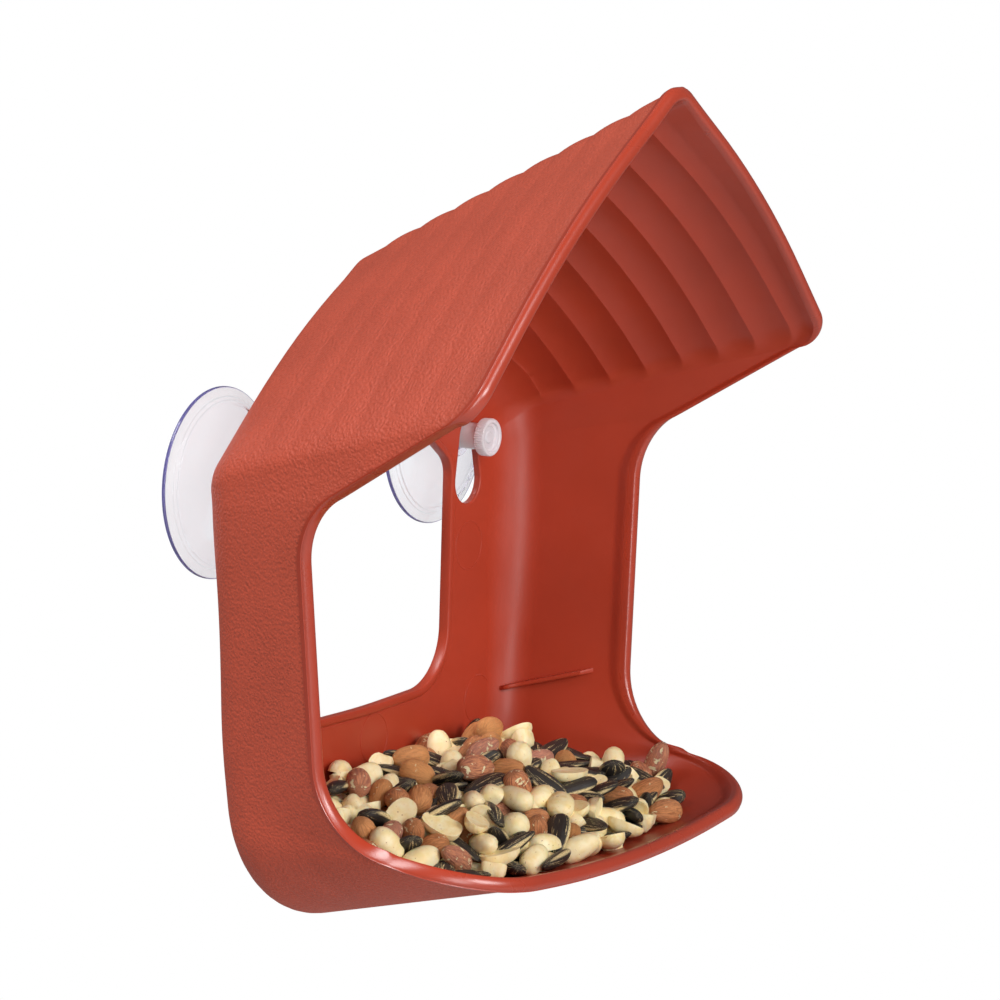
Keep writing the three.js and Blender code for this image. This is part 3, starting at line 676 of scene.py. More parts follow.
def seed_places(sizes, random):
    """Kind, middle, axes and size of every seed, in millimetres. The seeds start inside the heap, each
    at the one of several random places that is farthest from the others, and are then settled."""
    kinds = np.concatenate([np.full(v[0], k) for k, v in enumerate(SEED_KINDS.values())])
    random.shuffle(kinds)
    base = np.array([v[1:] for v in SEED_KINDS.values()])[kinds]
    size = base * (1 + 0.09 * random.standard_normal(base.shape).clip(-1.6, 1.6))
    flat = size[:, 2] < 0.72 * size[:, 1]
    r = np.where(flat, 0.31 * size[:, 2] + 0.19 * size[:, 1], (size[:, 1] + size[:, 2]) / 4)
    radii = r[:, None] * np.array([0.8, 1, 0.8])
    length = np.maximum(size[:, 0] - 1.6 * r, 1)
    middles = np.zeros((0, 3))
    drawn, kept, lift = 400, 14, 6
    for _ in range(len(kinds)):
        x = random.uniform(-TRAY_HALF_WIDTH, TRAY_HALF_WIDTH, drawn)
        depth = random.uniform(*TRAY_DEPTHS, drawn)
        floor = TRAY_FLOOR + 0.2 * depth + 7 * smooth((np.abs(x) - 40) / 30)
        top = heap_top(x, depth) + 4
        z = floor + lift + (top - floor - lift) * random.uniform(0, 1, drawn)
        high = top - floor > 8 * random.uniform(0.6, 1.4, drawn)
        tries = np.stack([x, -BACK_OFF - depth, z], -1)[high][:kept]
        if len(middles):
            gaps = np.linalg.norm(tries[:, None] - middles[None], axis=-1).min(axis=1)
            tries = tries[gaps.argmax()][None]
        middles = np.vstack([middles, tries[:1]])
    heading = random.uniform(0, 2 * np.pi, len(kinds))
    dip = random.normal(0, 0.3, len(kinds))
    axis = np.stack([np.cos(heading) * np.cos(dip), np.sin(heading) * np.cos(dip), np.sin(dip)], -1)
    ends = middles[:, None] + axis[:, None] * length[:, None, None] * np.array([-0.5, 0.5])[:, None]
    ends = settle(ends, length, radii, tray_walls(sizes), 150)
    axis = unit(ends[:, 1] - ends[:, 0])
    up = np.array([0, 0, 1]) + 0.3 * random.standard_normal((len(kinds), 3))
    up[~flat] = random.standard_normal((int((~flat).sum()), 3))
    thick = unit(up - axis * (up * axis).sum(-1, keepdims=True))
    turn_over = flat & (random.uniform(0, 1, len(kinds)) < 0.45)
    thick[turn_over] *= -1
    return kinds, ends.mean(axis=1), axis, np.cross(thick, axis), thick, size


def seed_points(kind, size, random):
    """Points of seeds of one kind in their own frames, count by around by along, with the angle a round
    and the angle p along each. A seed is a stretched ball: x = -L/2 cos(p), y = W/2 r cos(a),
    z = T/2 r sin(a), where r = sin(p)^0.8 is narrowed to one end and changed by a few long waves.
    Halves and pieces have a nearly flat face instead of the lower half."""
    around, along = (18, 13) if kind != "peanut_pieces" else (14, 10)
    a = np.linspace(0, 2 * np.pi, around, endpoint=False)[None, :, None]
    p = np.linspace(0, np.pi, along)[None, None, :]
    count = len(size)

    def some(low, high):
        return random.uniform(low, high, count)[:, None, None]

    def wave(k, m, height):
        return height * np.sin(k * a + m * p + some(0, 6.3))

    def bend(most):
        return some(-most, most) * lengths * lengthwise ** 2

    def split(power, hollow):
        """Height of a half: a dome, and a shallow hollow where its other half was."""
        dome = r * np.abs(np.sin(a)) ** power
        return 2 * thicks * np.where(np.sin(a) > 0, dome, hollow * np.sin(a) ** 2) - thicks

    lengthwise = -np.cos(p) + 0 * a
    round_share = np.sin(p) ** 0.8 + 0 * a
    lengths, widths, thicks = (size[:, k][:, None, None] / 2 for k in range(3))
    if kind in ("skin_peanuts", "blanched_peanuts"):
        r = round_share * (1 - some(0.04, 0.16) * np.cos(p))
        r = r * (1 + wave(2, 1.5, 0.022) + wave(3, -2, 0.016))
        r = r * (1 + some(0, 0.05) * np.cos(2.4 * p + some(-1, 1)))
        seam = 0.07 if kind == "blanched_peanuts" else 0.02
        r = r * (1 - seam * np.exp(-(np.sin(a) / 0.2) ** 2))
        tip = some(0.02, 0.09) * np.exp(-((p - 0.05) / 0.35) ** 2)
        x = lengths * (lengthwise * (1 + wave(1, 0, 0.02)) - tip)
        y, z = widths * r * np.cos(a) + bend(0.06), thicks * r * np.sin(a)
    elif kind == "peanut_halves":
        r = round_share * (1 - some(0.04, 0.16) * np.cos(p))
        r = r * (1 + wave(1, 1.5, 0.02) + wave(2, -2, 0.02))
        x = lengths * lengthwise
        hollow = some(0.02, 0.12) * np.sin(p) ** 2
        y, z = widths * r * np.cos(a) + bend(0.08), split(0.85, hollow)
    elif kind == "peanut_pieces":
        r = round_share * (1 + wave(1, 2, 0.1) + wave(2, -3, 0.08) + wave(3, 4, 0.05))
        x = lengths * (lengthwise + wave(2, 0, 0.08) * np.sin(p))
        y, z = widths * r * np.cos(a), split(0.8, 0.05 * np.sin(p))
    else:
        r = np.sin(p) ** 0.85 * (1 - some(0.22, 0.34) * np.cos(p)) * (1 + wave(2, 0.5, 0.015))
        x = lengths * lengthwise
        belly = np.sign(np.sin(a)) * np.abs(np.sin(a)) ** 1.25
        y = widths * r * np.cos(a)
        z = thicks * r * belly * (1 + 0.04 * np.cos(8 * a)) + bend(0.05)
    shape = (count, around, along)
    x, y, z, a, p = (np.broadcast_to(v, shape) for v in (x, y, z, a, p))
    return np.stack([x, y, z], -1), a, p


def scaled(colour, share):
    return [value * share for value in colour]


class Tree:
    """Short calls for building the nodes of a material or a world."""

    def __init__(self, name, store="materials", shader="Principled BSDF", **sockets):
        self.material = getattr(bpy.data, store).new(name)
        self.material.use_nodes = True
        self.tree = self.material.node_tree
        self.shader = self.tree.nodes[shader]
        for socket, value in sockets.items():
            self.shader.inputs[socket.replace("_", " ")].default_value = value

    def node(self, kind, values=None, **settings):
        made = self.tree.nodes.new("ShaderNode" + kind)
        for key, value in settings.items():
            setattr(made, key, value)
        for key, value in (values or {}).items():
            if isinstance(value, bpy.types.NodeSocket):
                self.tree.links.new(value, made.inputs[key])
            else:
                made.inputs[key].default_value = value
        return made

    def place(self):
        return self.node("TexCoord").outputs["Object"]

    def seed_marks(self):
        """The seeds' own coordinates, and the tone that is one number to a seed."""
        return (self.node("Attribute", attribute_name="own").outputs["Vector"],
                self.node("Attribute", attribute_name="tone").outputs["Fac"])

    def noise(self, vector, scale, detail=3, rough=0.5):
        values = {"Vector": vector, "Scale": scale, "Detail": detail, "Roughness": rough}
        return self.node("TexNoise", values).outputs["Fac"]

    def stretched(self, vector, stretch, *noise):
        """Noise on coordinates that are first scaled along each axis."""
        made = self.node("Mapping", {"Vector": vector, "Scale": stretch})
        return self.noise(made.outputs["Vector"], *noise)

    def math(self, kind, a, b=0.0, c=0.0, clamp=False):
        return self.node("Math", {0: a, 1: b, 2: c}, operation=kind, use_clamp=clamp).outputs[0]

    def times(self, a, b):
        return self.math("MULTIPLY", a, b)

    def plus(self, a, b, share=1.0):
        """a + share * b."""
        return self.math("MULTIPLY_ADD", b, share, a)

    def spread(self, value, low, high, to_low=0.0, to_high=1.0):
        values = {"Value": value, "From Min": low, "From Max": high, "To Min": to_low, "To Max": to_high}
        return self.node("MapRange", values).outputs[0]

    def roughness(self, noise, low, high):
        return self.spread(noise, 0.3, 0.7, low, high)

    def mix(self, factor, a, b, kind="MIX"):
        a, b = (c if isinstance(c, bpy.types.NodeSocket) else [*c, 1] for c in (a, b))
        made = self.node("Mix", {0: factor, 6: a, 7: b}, data_type="RGBA", blend_type=kind)
        return made.outputs[2]

    def layer(self, base, value, low, high, colour, most=1.0):
        """A colour over the base: none where the value is low, the most where it is high."""
        return self.mix(self.spread(value, low, high, 0.0, most), base, colour)

    def clouds(self, noise, a, b):
        """Soft clouds of two colours."""
        return self.layer(a, noise, 0.35, 0.65, b)

    def bump(self, height, distance, strength):
        values = {"Height": height, "Distance": distance, "Strength": strength}
        return self.node("Bump", values).outputs["Normal"]

    def use(self, **sockets):
        for socket, value in sockets.items():
            self.tree.links.new(value, self.shader.inputs[socket.replace("_", " ")])
        return self.material


def pebbled_plastic(colour):
    """Terracotta plastic with a moulded leather grain of about 0.8 mm and fine light specks."""
    t = Tree("pebbled_terracotta", Specular_IOR_Level=0.35)
    place = t.place()
    grain = t.node("TexVoronoi", {"Vector": place, "Scale": 1350.0, "Randomness": 1.0},
                   feature="SMOOTH_F1").outputs["Distance"]
    fine = t.noise(place, 3200.0, 2)
    shade = t.spread(t.noise(place, 1500.0, 2), 0.35, 0.65, 0.93, 1.05)
    tint = t.clouds(t.noise(place, 55.0, 2), scaled(colour, 0.95), scaled(colour, 1.04))
    tint = t.mix(1.0, tint, t.node("CombineColor", {0: shade, 1: shade, 2: shade}).outputs[0], "MULTIPLY")
    height = t.plus(t.times(fine, 0.35), grain, -1.0)
    return t.use(Base_Color=tint, Roughness=t.roughness(fine, 0.5, 0.62),
                 Normal=t.bump(height, 0.0005, 0.7))


def satin_plastic(name, colour, gloss, rough_low, rough_high):
    """The same plastic from the polished half of the mould, with a very fine even grain."""
    t = Tree(name, Specular_IOR_Level=gloss)
    place = t.place()
    tint = t.clouds(t.noise(place, 30.0, 3), scaled(colour, 0.94), scaled(colour, 1.04))
    rough = t.roughness(t.noise(place, 90.0, 3), rough_low, rough_high)
    grain = t.noise(place, 4200.0, 2)
    return t.use(Base_Color=tint, Roughness=rough, Normal=t.bump(grain, 0.00006, 0.35))


def clear_vinyl(colour, edge):
    """Clear soft vinyl with faint flow marks. A long way through it is tinted, and so is the edge,
    where the distance from the stud's axis is near the cup's radius. That distance is the root of
    (|x| - the axis's own x)^2 + z^2."""
    t = Tree("clear_vinyl", Roughness=0.06, IOR=1.47)
    place = t.place()
    flow = t.noise(place, 60.0, 2)
    volume = t.node("VolumeAbsorption", {"Color": (0.5, 0.46, 0.93, 1), "Density": 30.0})
    t.tree.links.new(volume.outputs[0], t.tree.nodes["Material Output"].inputs["Volume"])
    parts = t.node("SeparateXYZ", {"Vector": place}).outputs
    across = t.math("SUBTRACT", t.math("ABSOLUTE", parts["X"]), CUP_X * MM)
    radius = t.math("SQRT", t.math("ADD", t.math("POWER", across, 2), t.math("POWER", parts["Z"], 2)))
    rim = t.spread(radius, (CUP_RADIUS - 0.35) * MM, (CUP_RADIUS - 0.2) * MM)
    tint = t.mix(rim, t.clouds(flow, scaled(colour, 0.985), colour), edge)
    clear = t.spread(rim, 0.0, 1.0, 0.93, 0.6)
    return t.use(Base_Color=tint, Transmission_Weight=clear, Normal=t.bump(flow, 0.0004, 0.3))


def clear_plastic(colour):
    """Clear moulded plastic that scatters light inside, with faint flow marks."""
    t = Tree("clear_plastic", Roughness=0.12, IOR=1.47, Transmission_Weight=0.25, Subsurface_Weight=0.6,
             Subsurface_Radius=(1, 1, 1), Subsurface_Scale=0.002)
    flow = t.noise(t.place(), 60.0, 2)
    tint = t.clouds(flow, scaled(colour, 0.97), colour)
    return t.use(Base_Color=tint, Normal=t.bump(flow, 0.0003, 0.3))


def zinc_steel(colour):
    """Bright zinc plating with fine turning marks round the stud."""
    t = Tree("zinc_steel", Metallic=1.0)
    place = t.place()
    marks = t.stretched(place, (300.0, 9000.0, 300.0), 1.0, 2)
    tint = t.clouds(t.noise(place, 900.0), scaled(colour, 0.9), colour)
    return t.use(Base_Color=tint, Roughness=t.roughness(marks, 0.22, 0.4))


def peanut_skin(dark, light, flesh):
    """Papery peanut skin: lengthwise wrinkles and veins, its own veined colour with painted shade in the
    grooves and painted light on the ridges, more orange or more pink by the seed's tone, rubbed off
    to the cream flesh in small patches."""
    t = Tree("peanut_skin", Specular_IOR_Level=0.5)
    own, tone = t.seed_marks()
    orange = np.multiply(light, (1.1, 1.25, 0.9)).tolist()
    pink = np.multiply(light, (0.9, 1.05, 1.9)).tolist()
    brown = np.multiply(dark, (0.6, 0.5, 0.5)).tolist()
    vein = t.stretched(own, (3.6, 3.6, 0.9), 1.7, 4, 0.68)
    speck = t.stretched(own, (6, 6, 6), 3.0, 3, 0.6)
    # Veined colour: the dark colour carries painted shade where the vein height is low (grooves), the light
    # one painted light where it is high (ridges)
    base = t.layer(dark, vein, 0.4, 0.6, light)
    base = t.layer(base, tone, 0.3, 1.0, orange, 0.7)
    base = t.layer(base, tone, 0.3, 0.0, pink, 0.5)
    base = t.layer(base, speck, 0.6, 0.72, brown, 0.5)
    patch = t.stretched(own, (0.9, 0.9, 1.8), 1.3, 3, 0.6)
    bare = t.spread(t.plus(patch, tone, -0.1), 0.585, 0.6)
    height = t.plus(t.plus(t.times(vein, 0.8), speck, 0.25), bare, -0.2)
    return t.use(Base_Color=t.mix(bare, base, flesh), Roughness=t.roughness(speck, 0.34, 0.55),
                 Normal=t.bump(height, 0.0011, 0.9))


def peanut_flesh(flesh, shade):
    """Blanched peanut: cream with pale yellow clouds, faint lengthwise dents and a few brown marks."""
    t = Tree("peanut_flesh", Specular_IOR_Level=0.45, Subsurface_Weight=0.12, Subsurface_Scale=0.001)
    own, tone = t.seed_marks()
    cloud = t.stretched(own, (1.2, 1.2, 1.6), 1.2, 3)
    fine = t.stretched(own, (7, 7, 5), 2.0, 3)
    mark = t.stretched(own, (2.6, 2.6, 2.6), 1.9, 2)
    yellow, brown = (0.86, 0.75, 0.5), (0.35, 0.13, 0.04)
    base = t.layer(t.clouds(cloud, flesh, shade), tone, 0.0, 1.0, yellow, 0.4)
    base = t.layer(base, mark, 0.69, 0.74, brown, 0.75)
    height = t.plus(t.times(cloud, 0.7), fine, 0.12)
    return t.use(Base_Color=base, Roughness=t.roughness(fine, 0.38, 0.56),
                 Normal=t.bump(height, 0.0006, 0.6))


def sunflower_hull(black, stripe):
    """Striped hull: black with cream lines that run lengthwise, strongest along the two edges, worn
    into short streaks."""
    t = Tree("sunflower_hull", Specular_IOR_Level=0.45)
    own, tone = t.seed_marks()
    edge = t.node("Attribute", attribute_name="edge").outputs["Fac"]
    line = t.stretched(own, (4.2, 4.2, 0.3), 2.0, 2)
    worn = t.stretched(own, (9, 9, 3.5), 2.2, 3, 0.6)
    stripes = t.times(t.spread(t.plus(line, tone, 0.07), 0.635, 0.66), t.spread(worn, 0.44, 0.56))
    edges = t.times(t.spread(edge, 0.86, 0.95), t.spread(worn, 0.36, 0.46))
    dark = t.layer(black, worn, 0.35, 0.7, scaled(black, 2.4))
    height = t.plus(line, worn, 0.25)
    return t.use(Base_Color=t.mix(t.math("MAXIMUM", stripes, edges), dark, stripe),
                 Roughness=t.roughness(worn, 0.36, 0.6), Normal=t.bump(height, 0.0005, 0.6))


def seen_share(t, share):
    """How far a light surface shows as white: the share for rays from the camera or through clear
    plastic, a part of it for mirror rays off the outside of things, and 0 for all others."""
    path = t.node("LightPath").outputs
    inside = t.math("MULTIPLY_ADD", path["Transmission Depth"], 1, 0, clamp=True)
    mirror = t.math("MULTIPLY_ADD", inside, 0.96, 0.04, clamp=True)
    direct = t.math("MULTIPLY_ADD", path["Is Camera Ray"], 1, path["Is Transmission Ray"], clamp=True)
    seen = t.math("MULTIPLY_ADD", path["Is Glossy Ray"], mirror, direct, clamp=True)
    return t.math("MULTIPLY_ADD", seen, share, 0, clamp=True)


def metres(name, description, default, low, high, precision=4):
    return FloatProperty(name=name, description=description, default=default, min=low, max=high,
                         unit="LENGTH", precision=precision)


def hue(name, description, default):
    return FloatVectorProperty(name=name, description=description, default=default, subtype="COLOR",
                               min=0, max=1)


def watts(name, description, default):
    return FloatProperty(name=name, description=description, default=default, min=0, max=200,
                         unit="POWER")


class ShellSizes(bpy.types.PropertyGroup):
    """Sizes of the moulded shell."""

    wall: metres("Wall", "Thickness of the moulding", 0.0022, 0.001, 0.003)
    flute_height: metres("Flute height", "Rise of a roof flute over its valleys", 0.0005, 0, 0.002, 5)
    inner_flute_height: metres("Inner flute height", "Rise of a flute under the roof", 0.0008, 0, 0.001, 5)
    flute_pitch: metres("Flute pitch", "Distance between two valleys of the roof", 0.0105, 0.009, 0.011)
    rim_band: metres("Rim band", "Width of the smooth band round the open front", 0.0026, 0.002, 0.004)
    rim_step: metres("Rim step", "Height of the band over the pebbled skin", 0.0007, 0.0003, 0.001, 5)
    rim_inner_step: metres("Rim bead", "Extra thickness on the rim's inner side", 0.0009, 0.0003, 0.0015, 5)
    bead_width: metres("Window bead width", "Width of the bead round the window", 0.0022, 0.0015, 0.003)
    bead_height: metres("Window bead height", "Rise of that bead over the wall", 0.001, 0.0004, 0.0015)


class Colours(bpy.types.PropertyGroup):
    """Colours of the finishes, as linear values."""

    skin: hue("Outside", "Pebbled outside of the shell", (0.56, 0.088, 0.046))
    satin: hue("Inside", "Satin inside and rim of the shell", (0.415, 0.044, 0.018))
    vinyl: hue("Cups", "Clear vinyl of the suction cups", (0.96, 0.96, 0.97))
    edge: hue("Cup edge", "Tint of the suction cups at their edge", (0.22, 0.2, 0.56))
    clear: hue("Nuts", "Clear plastic of the thumb nuts", (0.98, 0.93, 1.0))
    steel: hue("Studs", "Zinc plated steel", (0.62, 0.63, 0.65))


class SeedLook(bpy.types.PropertyGroup):
    """The mixed seed."""

    order: IntProperty(name="Arrangement", default=7, min=0,
                       description="Number that picks another arrangement of the seeds")
    # Skin colours: the dark one is the groove colour with painted shade, the light one the ridge colour
    # with painted light
    skin_grooves_with_painted_shade: hue("Skin, dark", "Peanut skin in its grooves", (0.36, 0.1, 0.045))
    skin_ridges_with_painted_light: hue("Skin, light", "Peanut skin on its ridges", (0.76, 0.31, 0.135))
    flesh: hue("Flesh", "Blanched peanuts", (0.96, 0.83, 0.52))
    flesh_shade: hue("Flesh, yellow", "Yellower clouds of the flesh", (0.9, 0.7, 0.31))
    hull: hue("Hull", "Sunflower hull between its stripes", (0.018, 0.015, 0.013))
    stripe: hue("Stripe", "Stripes of the sunflower hull", (0.85, 0.66, 0.33))


class StageLights(bpy.types.PropertyGroup):
    """Light of the stage."""

    key: watts("Key lamp", "Large soft lamp, high on the left", 45.0)
    front: watts("Front lamp", "Soft lamp that shines into the open front", 32.0)
    corner: watts("Corner lamp", "Tall soft lamp beside the camera, for the inner corner", 13.0)
    ambient: FloatProperty(name="Ambient", description="Even light from all round", default=0.11,
                           min=0, max=1)
    floor_drop: metres("Floor drop", "Gap between the feeder's foot and the floor", 0.45, 0, 1, 2)


class FEEDER_OT_shell(bpy.types.Operator):
    """Make the moulded shell with its fluted roof, window, keyholes and ribs"""

    bl_idname = "feeder.shell"
    bl_label = "Shell"

    def execute(self, context):
        sizes, colours = context.scene.feeder_shell, context.scene.feeder_colours
        grid, finish = shell_grid(sizes)
        low, high = (np.array(corner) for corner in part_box("feeder_body"))
        points = np.clip(grid.reshape(-1, 3), low, high)
        columns, rows = grid.shape[:2]
        faces = grid_faces(columns, rows)
        index = np.tile(np.maximum(finish, np.roll(finish, -1)), columns)
        mesh = new_mesh("shell", [(points, faces.tolist(), index)])
        cut_mesh = new_mesh("keyhole_cut", [(*keyhole_cutter(side, sizes), SATIN) for side in (-1, 1)])
        materials = [pebbled_plastic(colours.skin),
                     satin_plastic("satin_terracotta", colours.satin, 0.48, 0.33, 0.41),
                     satin_plastic("polished_terracotta", colours.satin, 0.85, 0.26, 0.32)]
        body = bpy.data.objects.new("shell_blank", mesh)
        cut = bpy.data.objects.new("keyhole_cut", cut_mesh)
        for made in (body, cut):
            for material in materials:
                made.data.materials.append(material)
            context.scene.collection.objects.link(made)
        modifier = body.modifiers.new("keyholes", "BOOLEAN")
        modifier.object = cut
        modifier.operation = "DIFFERENCE"
        modifier.solver = "EXACT"
        context.view_layer.update()
        holed = bpy.data.meshes.new_from_object(body.evaluated_get(context.evaluated_depsgraph_get()))
        bpy.data.objects.remove(body)
        bpy.data.objects.remove(cut)
        work = bmesh.new()
        work.from_mesh(holed)
        ribs = [rib_grid(side, sizes) for side in (-1, 1)]
        for grid in ribs + [ring_grid(*place, sizes) for place in RING_PLACES]:
            extra = new_mesh("extra", [(*grid, SATIN)])
            work.from_mesh(extra)
            bpy.data.meshes.remove(extra)
        work.to_mesh(holed)
        work.free()
        add_piece("moulded_shell", holed, [], "shell", ["feeder_body"])
        return {"FINISHED"}


def add_pair(name, profile, sides, material, body, node, wobble=None):
    """The left and the right one of a turned piece. Where body or node holds {side}, its own goes in."""
    for side, word in ((-1, "left"), (1, "right")):
        mesh = new_mesh(name, [(*turned(profile, sides, side * CUP_X, wobble), 0)])
        add_piece(f"{name}_{word}", mesh, [material], body.format(side=word), [f"{node}_{word}"])


class FEEDER_OT_cups(bpy.types.Operator):
    """Make the two clear suction cups"""

    bl_idname = "feeder.cups"
    bl_label = "Suction cups"

    def execute(self, context):
        colours = context.scene.feeder_colours
        vinyl = clear_vinyl(colours.vinyl, colours.edge)
        add_pair("clear_cup", cup_profile(), 128, vinyl, "cups_and_studs", "suction_cup")
        return {"FINISHED"}


class FEEDER_OT_studs(bpy.types.Operator):
    """Make the two threaded studs"""

    bl_idname = "feeder.studs"
    bl_label = "Studs"

    def execute(self, context):
        steel = zinc_steel(context.scene.feeder_colours.steel)
        profile = stud_profile()
        threaded = profile[:, 0] == THREAD_RADIUS

        def thread(angle, radius):
            """Teeth of the M5 thread, one turn to a pitch."""
            turns = profile[:, 1] / THREAD_PITCH - angle / (2 * np.pi)
            tooth = np.abs((turns % 1) * 2 - 1)
            return radius - np.where(threaded, THREAD_DEPTH * smooth(tooth * 1.25), 0)

        add_pair("threaded_stud", profile, 40, steel, "cups_and_studs", "stud", thread)
        return {"FINISHED"}


class FEEDER_OT_nuts(bpy.types.Operator):
    """Make the two knurled thumb nuts"""

    bl_idname = "feeder.nuts"
    bl_label = "Thumb nuts"

    def execute(self, context):
        plastic = clear_plastic(context.scene.feeder_colours.clear)
        profile = nut_profile()
        on_edge = smooth((profile[:, 0] - 4.7) / 0.45) * (profile[:, 1] < 19.25)

        def knurls(angle, radius):
            """Grooves along the head's edge, as a raised cosine of the angle."""
            return radius - KNURL_DEPTH * on_edge * (0.5 + 0.5 * np.cos(KNURLS * angle)) ** 0.8

        add_pair("knurled_nut", profile, 8 * KNURLS, plastic, "nut_{side}", "thumb_nut",
                 knurls)
        return {"FINISHED"}


class FEEDER_OT_seeds(bpy.types.Operator):
    """Make the heap of mixed peanuts and sunflower seeds in the tray"""

    bl_idname = "feeder.seeds"
    bl_label = "Seed"

    def execute(self, context):
        look = context.scene.feeder_seeds
        random = np.random.default_rng(look.order)
        kinds, middles, long, wide, thick, size = seed_places(context.scene.feeder_shell, random)
        flesh = peanut_flesh(look.flesh, look.flesh_shade)
        finishes = {
            "skin_peanuts": peanut_skin(look.skin_grooves_with_painted_shade, look.skin_ridges_with_painted_light, look.flesh),
            "sunflower_seeds": sunflower_hull(look.hull, look.stripe),
        }
        for k, kind in enumerate(SEED_KINDS):
            mine = kinds == k
            points, a, p = seed_points(kind, size[mine], random)
            axes = np.stack([long[mine], wide[mine], thick[mine]], axis=1)
            placed = np.einsum("kuvd,kde->kuve", points, axes) + middles[mine][:, None, None]
            count = len(a)
            offset = random.uniform(0, 60, (count, 1, 1, 3))
            own = np.stack([np.cos(a), np.sin(a), -1.5 * np.cos(p)], -1) + offset
            tone = np.broadcast_to(random.uniform(0, 1, (count, 1, 1)), a.shape)
            mesh = self.seed_mesh(kind, placed, own, tone, np.abs(np.cos(a)) * np.sin(p) ** 0.2)
            add_piece(kind, mesh, [finishes.get(kind, flesh)], "shell", ["seed_mix"],
                      math.radians(60))
        return {"FINISHED"}

    def seed_mesh(self, name, placed, own, tone, edge):
        """All seeds of a kind as one mesh. Each is a grid of points round by along whose two end rings
        are closed by one point each."""
        count, around, along = tone.shape
        inner = slice(1, along - 1)
        rings = along - 2

        def pack(values):
            """Ring points of a seed, then its first and last pole."""
            body = values[:, :, inner].reshape(count, around * rings, -1)
            poles = np.stack([values[:, :, 0].mean(axis=1), values[:, :, -1].mean(axis=1)], axis=1)
            return np.concatenate([body, poles.reshape(count, 2, -1)], axis=1)

        points, own = pack(placed * MM), pack(own)
        tone, edge = pack(tone[..., None]), pack(edge[..., None])
        quads = grid_faces(around, rings, True, False)
        ring = np.arange(around)
        after = (ring + 1) % around
        first, last = around * rings, around * rings + 1
        start = np.stack([np.full(around, first), ring * rings, after * rings], -1)
        end = np.stack([np.full(around, last), after * rings + rings - 1, ring * rings + rings - 1], -1)
        step = around * rings + 2
        shift = (np.arange(count) * step)[:, None, None]
        faces = (quads[None] + shift).reshape(-1, 4).tolist()
        for cap in (start, end):
            faces += (cap[None] + shift).reshape(-1, 3).tolist()
        mesh = bpy.data.meshes.new(name)
        mesh.from_pydata(points.reshape(-1, 3).tolist(), [], faces)
        mesh.attributes.new("own", "FLOAT_VECTOR", "POINT").data.foreach_set("vector", own.ravel())
        for label, values in (("tone", tone), ("edge", edge)):
            mesh.attributes.new(label, "FLOAT", "POINT").data.foreach_set("value", values.ravel())
        return mended(mesh, weld=False)


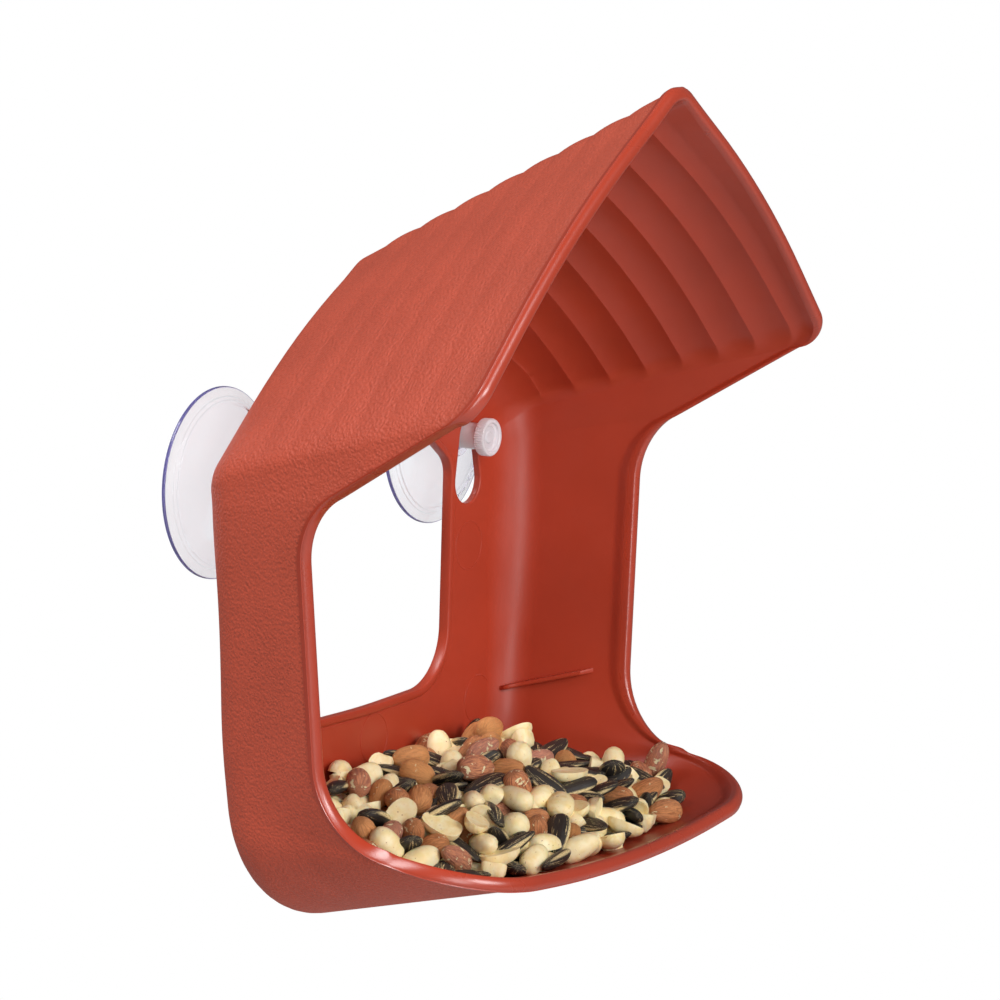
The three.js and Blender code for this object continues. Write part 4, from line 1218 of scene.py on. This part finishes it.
class FEEDER_OT_stage(bpy.types.Operator):
    """Set up the floor, the white surroundings, the lamps and the camera"""

    bl_idname = "feeder.stage"
    bl_label = "Stage"

    def execute(self, context):
        scene, lights = context.scene, context.scene.feeder_lights
        scene.view_settings.view_transform = "Standard"
        self.make_floor(scene, cad_box[0][2] - lights.floor_drop)
        self.make_world(scene, lights.ambient)
        self.make_lamp(scene, "key_lamp", (-1.0, 0.8, 2.05), 1.2, lights.key)
        self.make_lamp(scene, "front_lamp", (-0.4, -2.0, 0.85), 1.0, lights.front)
        self.make_lamp(scene, "corner_lamp", (-1.35, -1.4, 0.3), 0.6, lights.corner, 1.3)
        self.make_camera(scene)
        return {"FINISHED"}

    def make_floor(self, scene, height):
        """A round sheet 12 m across, level at the given height. It is seen as 0.92 of white near the
        feeder, and as white from 1.4 m on, where it meets the surroundings."""
        ring = np.linspace(0, 2 * np.pi, 96, endpoint=False)
        points = np.stack([6 * np.cos(ring), 6 * np.sin(ring), np.full(len(ring), height)], -1)
        mesh = bpy.data.meshes.new("floor")
        mesh.from_pydata(points.tolist(), [], [list(range(len(ring)))])
        t = Tree("white_floor", Base_Color=(0.5, 0.5, 0.5, 1), Roughness=0.9)
        far = t.node("VectorMath", {0: t.place()}, operation="LENGTH").outputs["Value"]
        seen = seen_share(t, t.spread(far, 0.4, 1.4, 0.92, 1.0))
        mixed = t.node("MixShader", {0: seen, 1: t.shader.outputs[0], 2: t.node("Emission").outputs[0]})
        t.tree.links.new(mixed.outputs[0], t.tree.nodes["Material Output"].inputs["Surface"])
        mesh.materials.append(t.material)
        floor = bpy.data.objects.new("floor", mesh)
        scene.collection.objects.link(floor)

    def make_world(self, scene, ambient):
        """Even light of the given strength, seen as white."""
        t = Tree("white_surroundings", "worlds", "Background", Color=WHITE, Strength=ambient)
        white = t.node("Background", {"Color": WHITE, "Strength": 1}).outputs[0]
        mixed = t.node("MixShader", {0: seen_share(t, 1.0), 1: t.shader.outputs[0], 2: white})
        t.tree.links.new(mixed.outputs[0], t.tree.nodes["World Output"].inputs["Surface"])
        scene.world = t.material

    def make_lamp(self, scene, name, place, size, power, tall=None):
        """A soft lamp turned towards the middle of the feeder: a disk, or a rectangle where a height is
        given."""
        lamp = bpy.data.lights.new(name, "AREA")
        lamp.shape = "RECTANGLE" if tall else "DISK"
        lamp.size = size
        lamp.size_y = tall or size
        lamp.energy = power
        made = bpy.data.objects.new(name, lamp)
        made.location = place
        made.rotation_euler = (LAMP_TARGET - Vector(place)).to_track_quat("-Z", "Y").to_euler()
        scene.collection.objects.link(made)

    def make_camera(self, scene):
        """The photograph's view: right, up and back directions of the camera, and its place."""
        lens = bpy.data.cameras.new("camera")
        lens.sensor_width = 36
        lens.lens = 192.2
        camera = bpy.data.objects.new("camera", lens)
        right, up = (0.52341, -0.85208, 0), (0.13573, 0.08337, 0.98723)
        back = (-0.84120, -0.51673, 0.15929)
        turn = Matrix((right, up, back)).transposed().to_4x4()
        camera.matrix_world = Matrix.Translation((-1.17385, -0.77477, 0.21509)) @ turn
        scene.collection.objects.link(camera)
        scene.camera = camera


class FEEDER_PT_panel(bpy.types.Panel):
    """Lists the feeder's pieces and their sizes"""

    bl_label = "Window bird feeder"
    bl_idname = "FEEDER_PT_panel"
    bl_space_type = "VIEW_3D"
    bl_region_type = "UI"
    bl_category = "Bird feeder"

    def draw(self, context):
        layout = self.layout
        for operator in OPERATORS:
            layout.operator(operator.bl_idname)
        for name, group in SETTINGS:
            box = layout.box()
            box.label(text=group.__name__)
            for key in group.__annotations__:
                box.prop(getattr(context.scene, name), key)


SETTINGS = (("feeder_shell", ShellSizes), ("feeder_colours", Colours), ("feeder_seeds", SeedLook),
            ("feeder_lights", StageLights))
OPERATORS = (FEEDER_OT_stage, FEEDER_OT_shell, FEEDER_OT_cups, FEEDER_OT_studs, FEEDER_OT_nuts,
             FEEDER_OT_seeds)


def register():
    for name, group in SETTINGS:
        bpy.utils.register_class(group)
        setattr(bpy.types.Scene, name, PointerProperty(type=group))
    for made in (*OPERATORS, FEEDER_PT_panel):
        bpy.utils.register_class(made)


def unregister():
    for made in (FEEDER_PT_panel, *reversed(OPERATORS)):
        bpy.utils.unregister_class(made)
    for name, group in reversed(SETTINGS):
        delattr(bpy.types.Scene, name)
        bpy.utils.unregister_class(group)


def main():
    register()
    bpy.ops.feeder.stage()
    bpy.ops.feeder.shell()
    bpy.ops.feeder.cups()
    bpy.ops.feeder.studs()
    bpy.ops.feeder.nuts()
    bpy.ops.feeder.seeds()


if __name__ == "__main__":
    main()
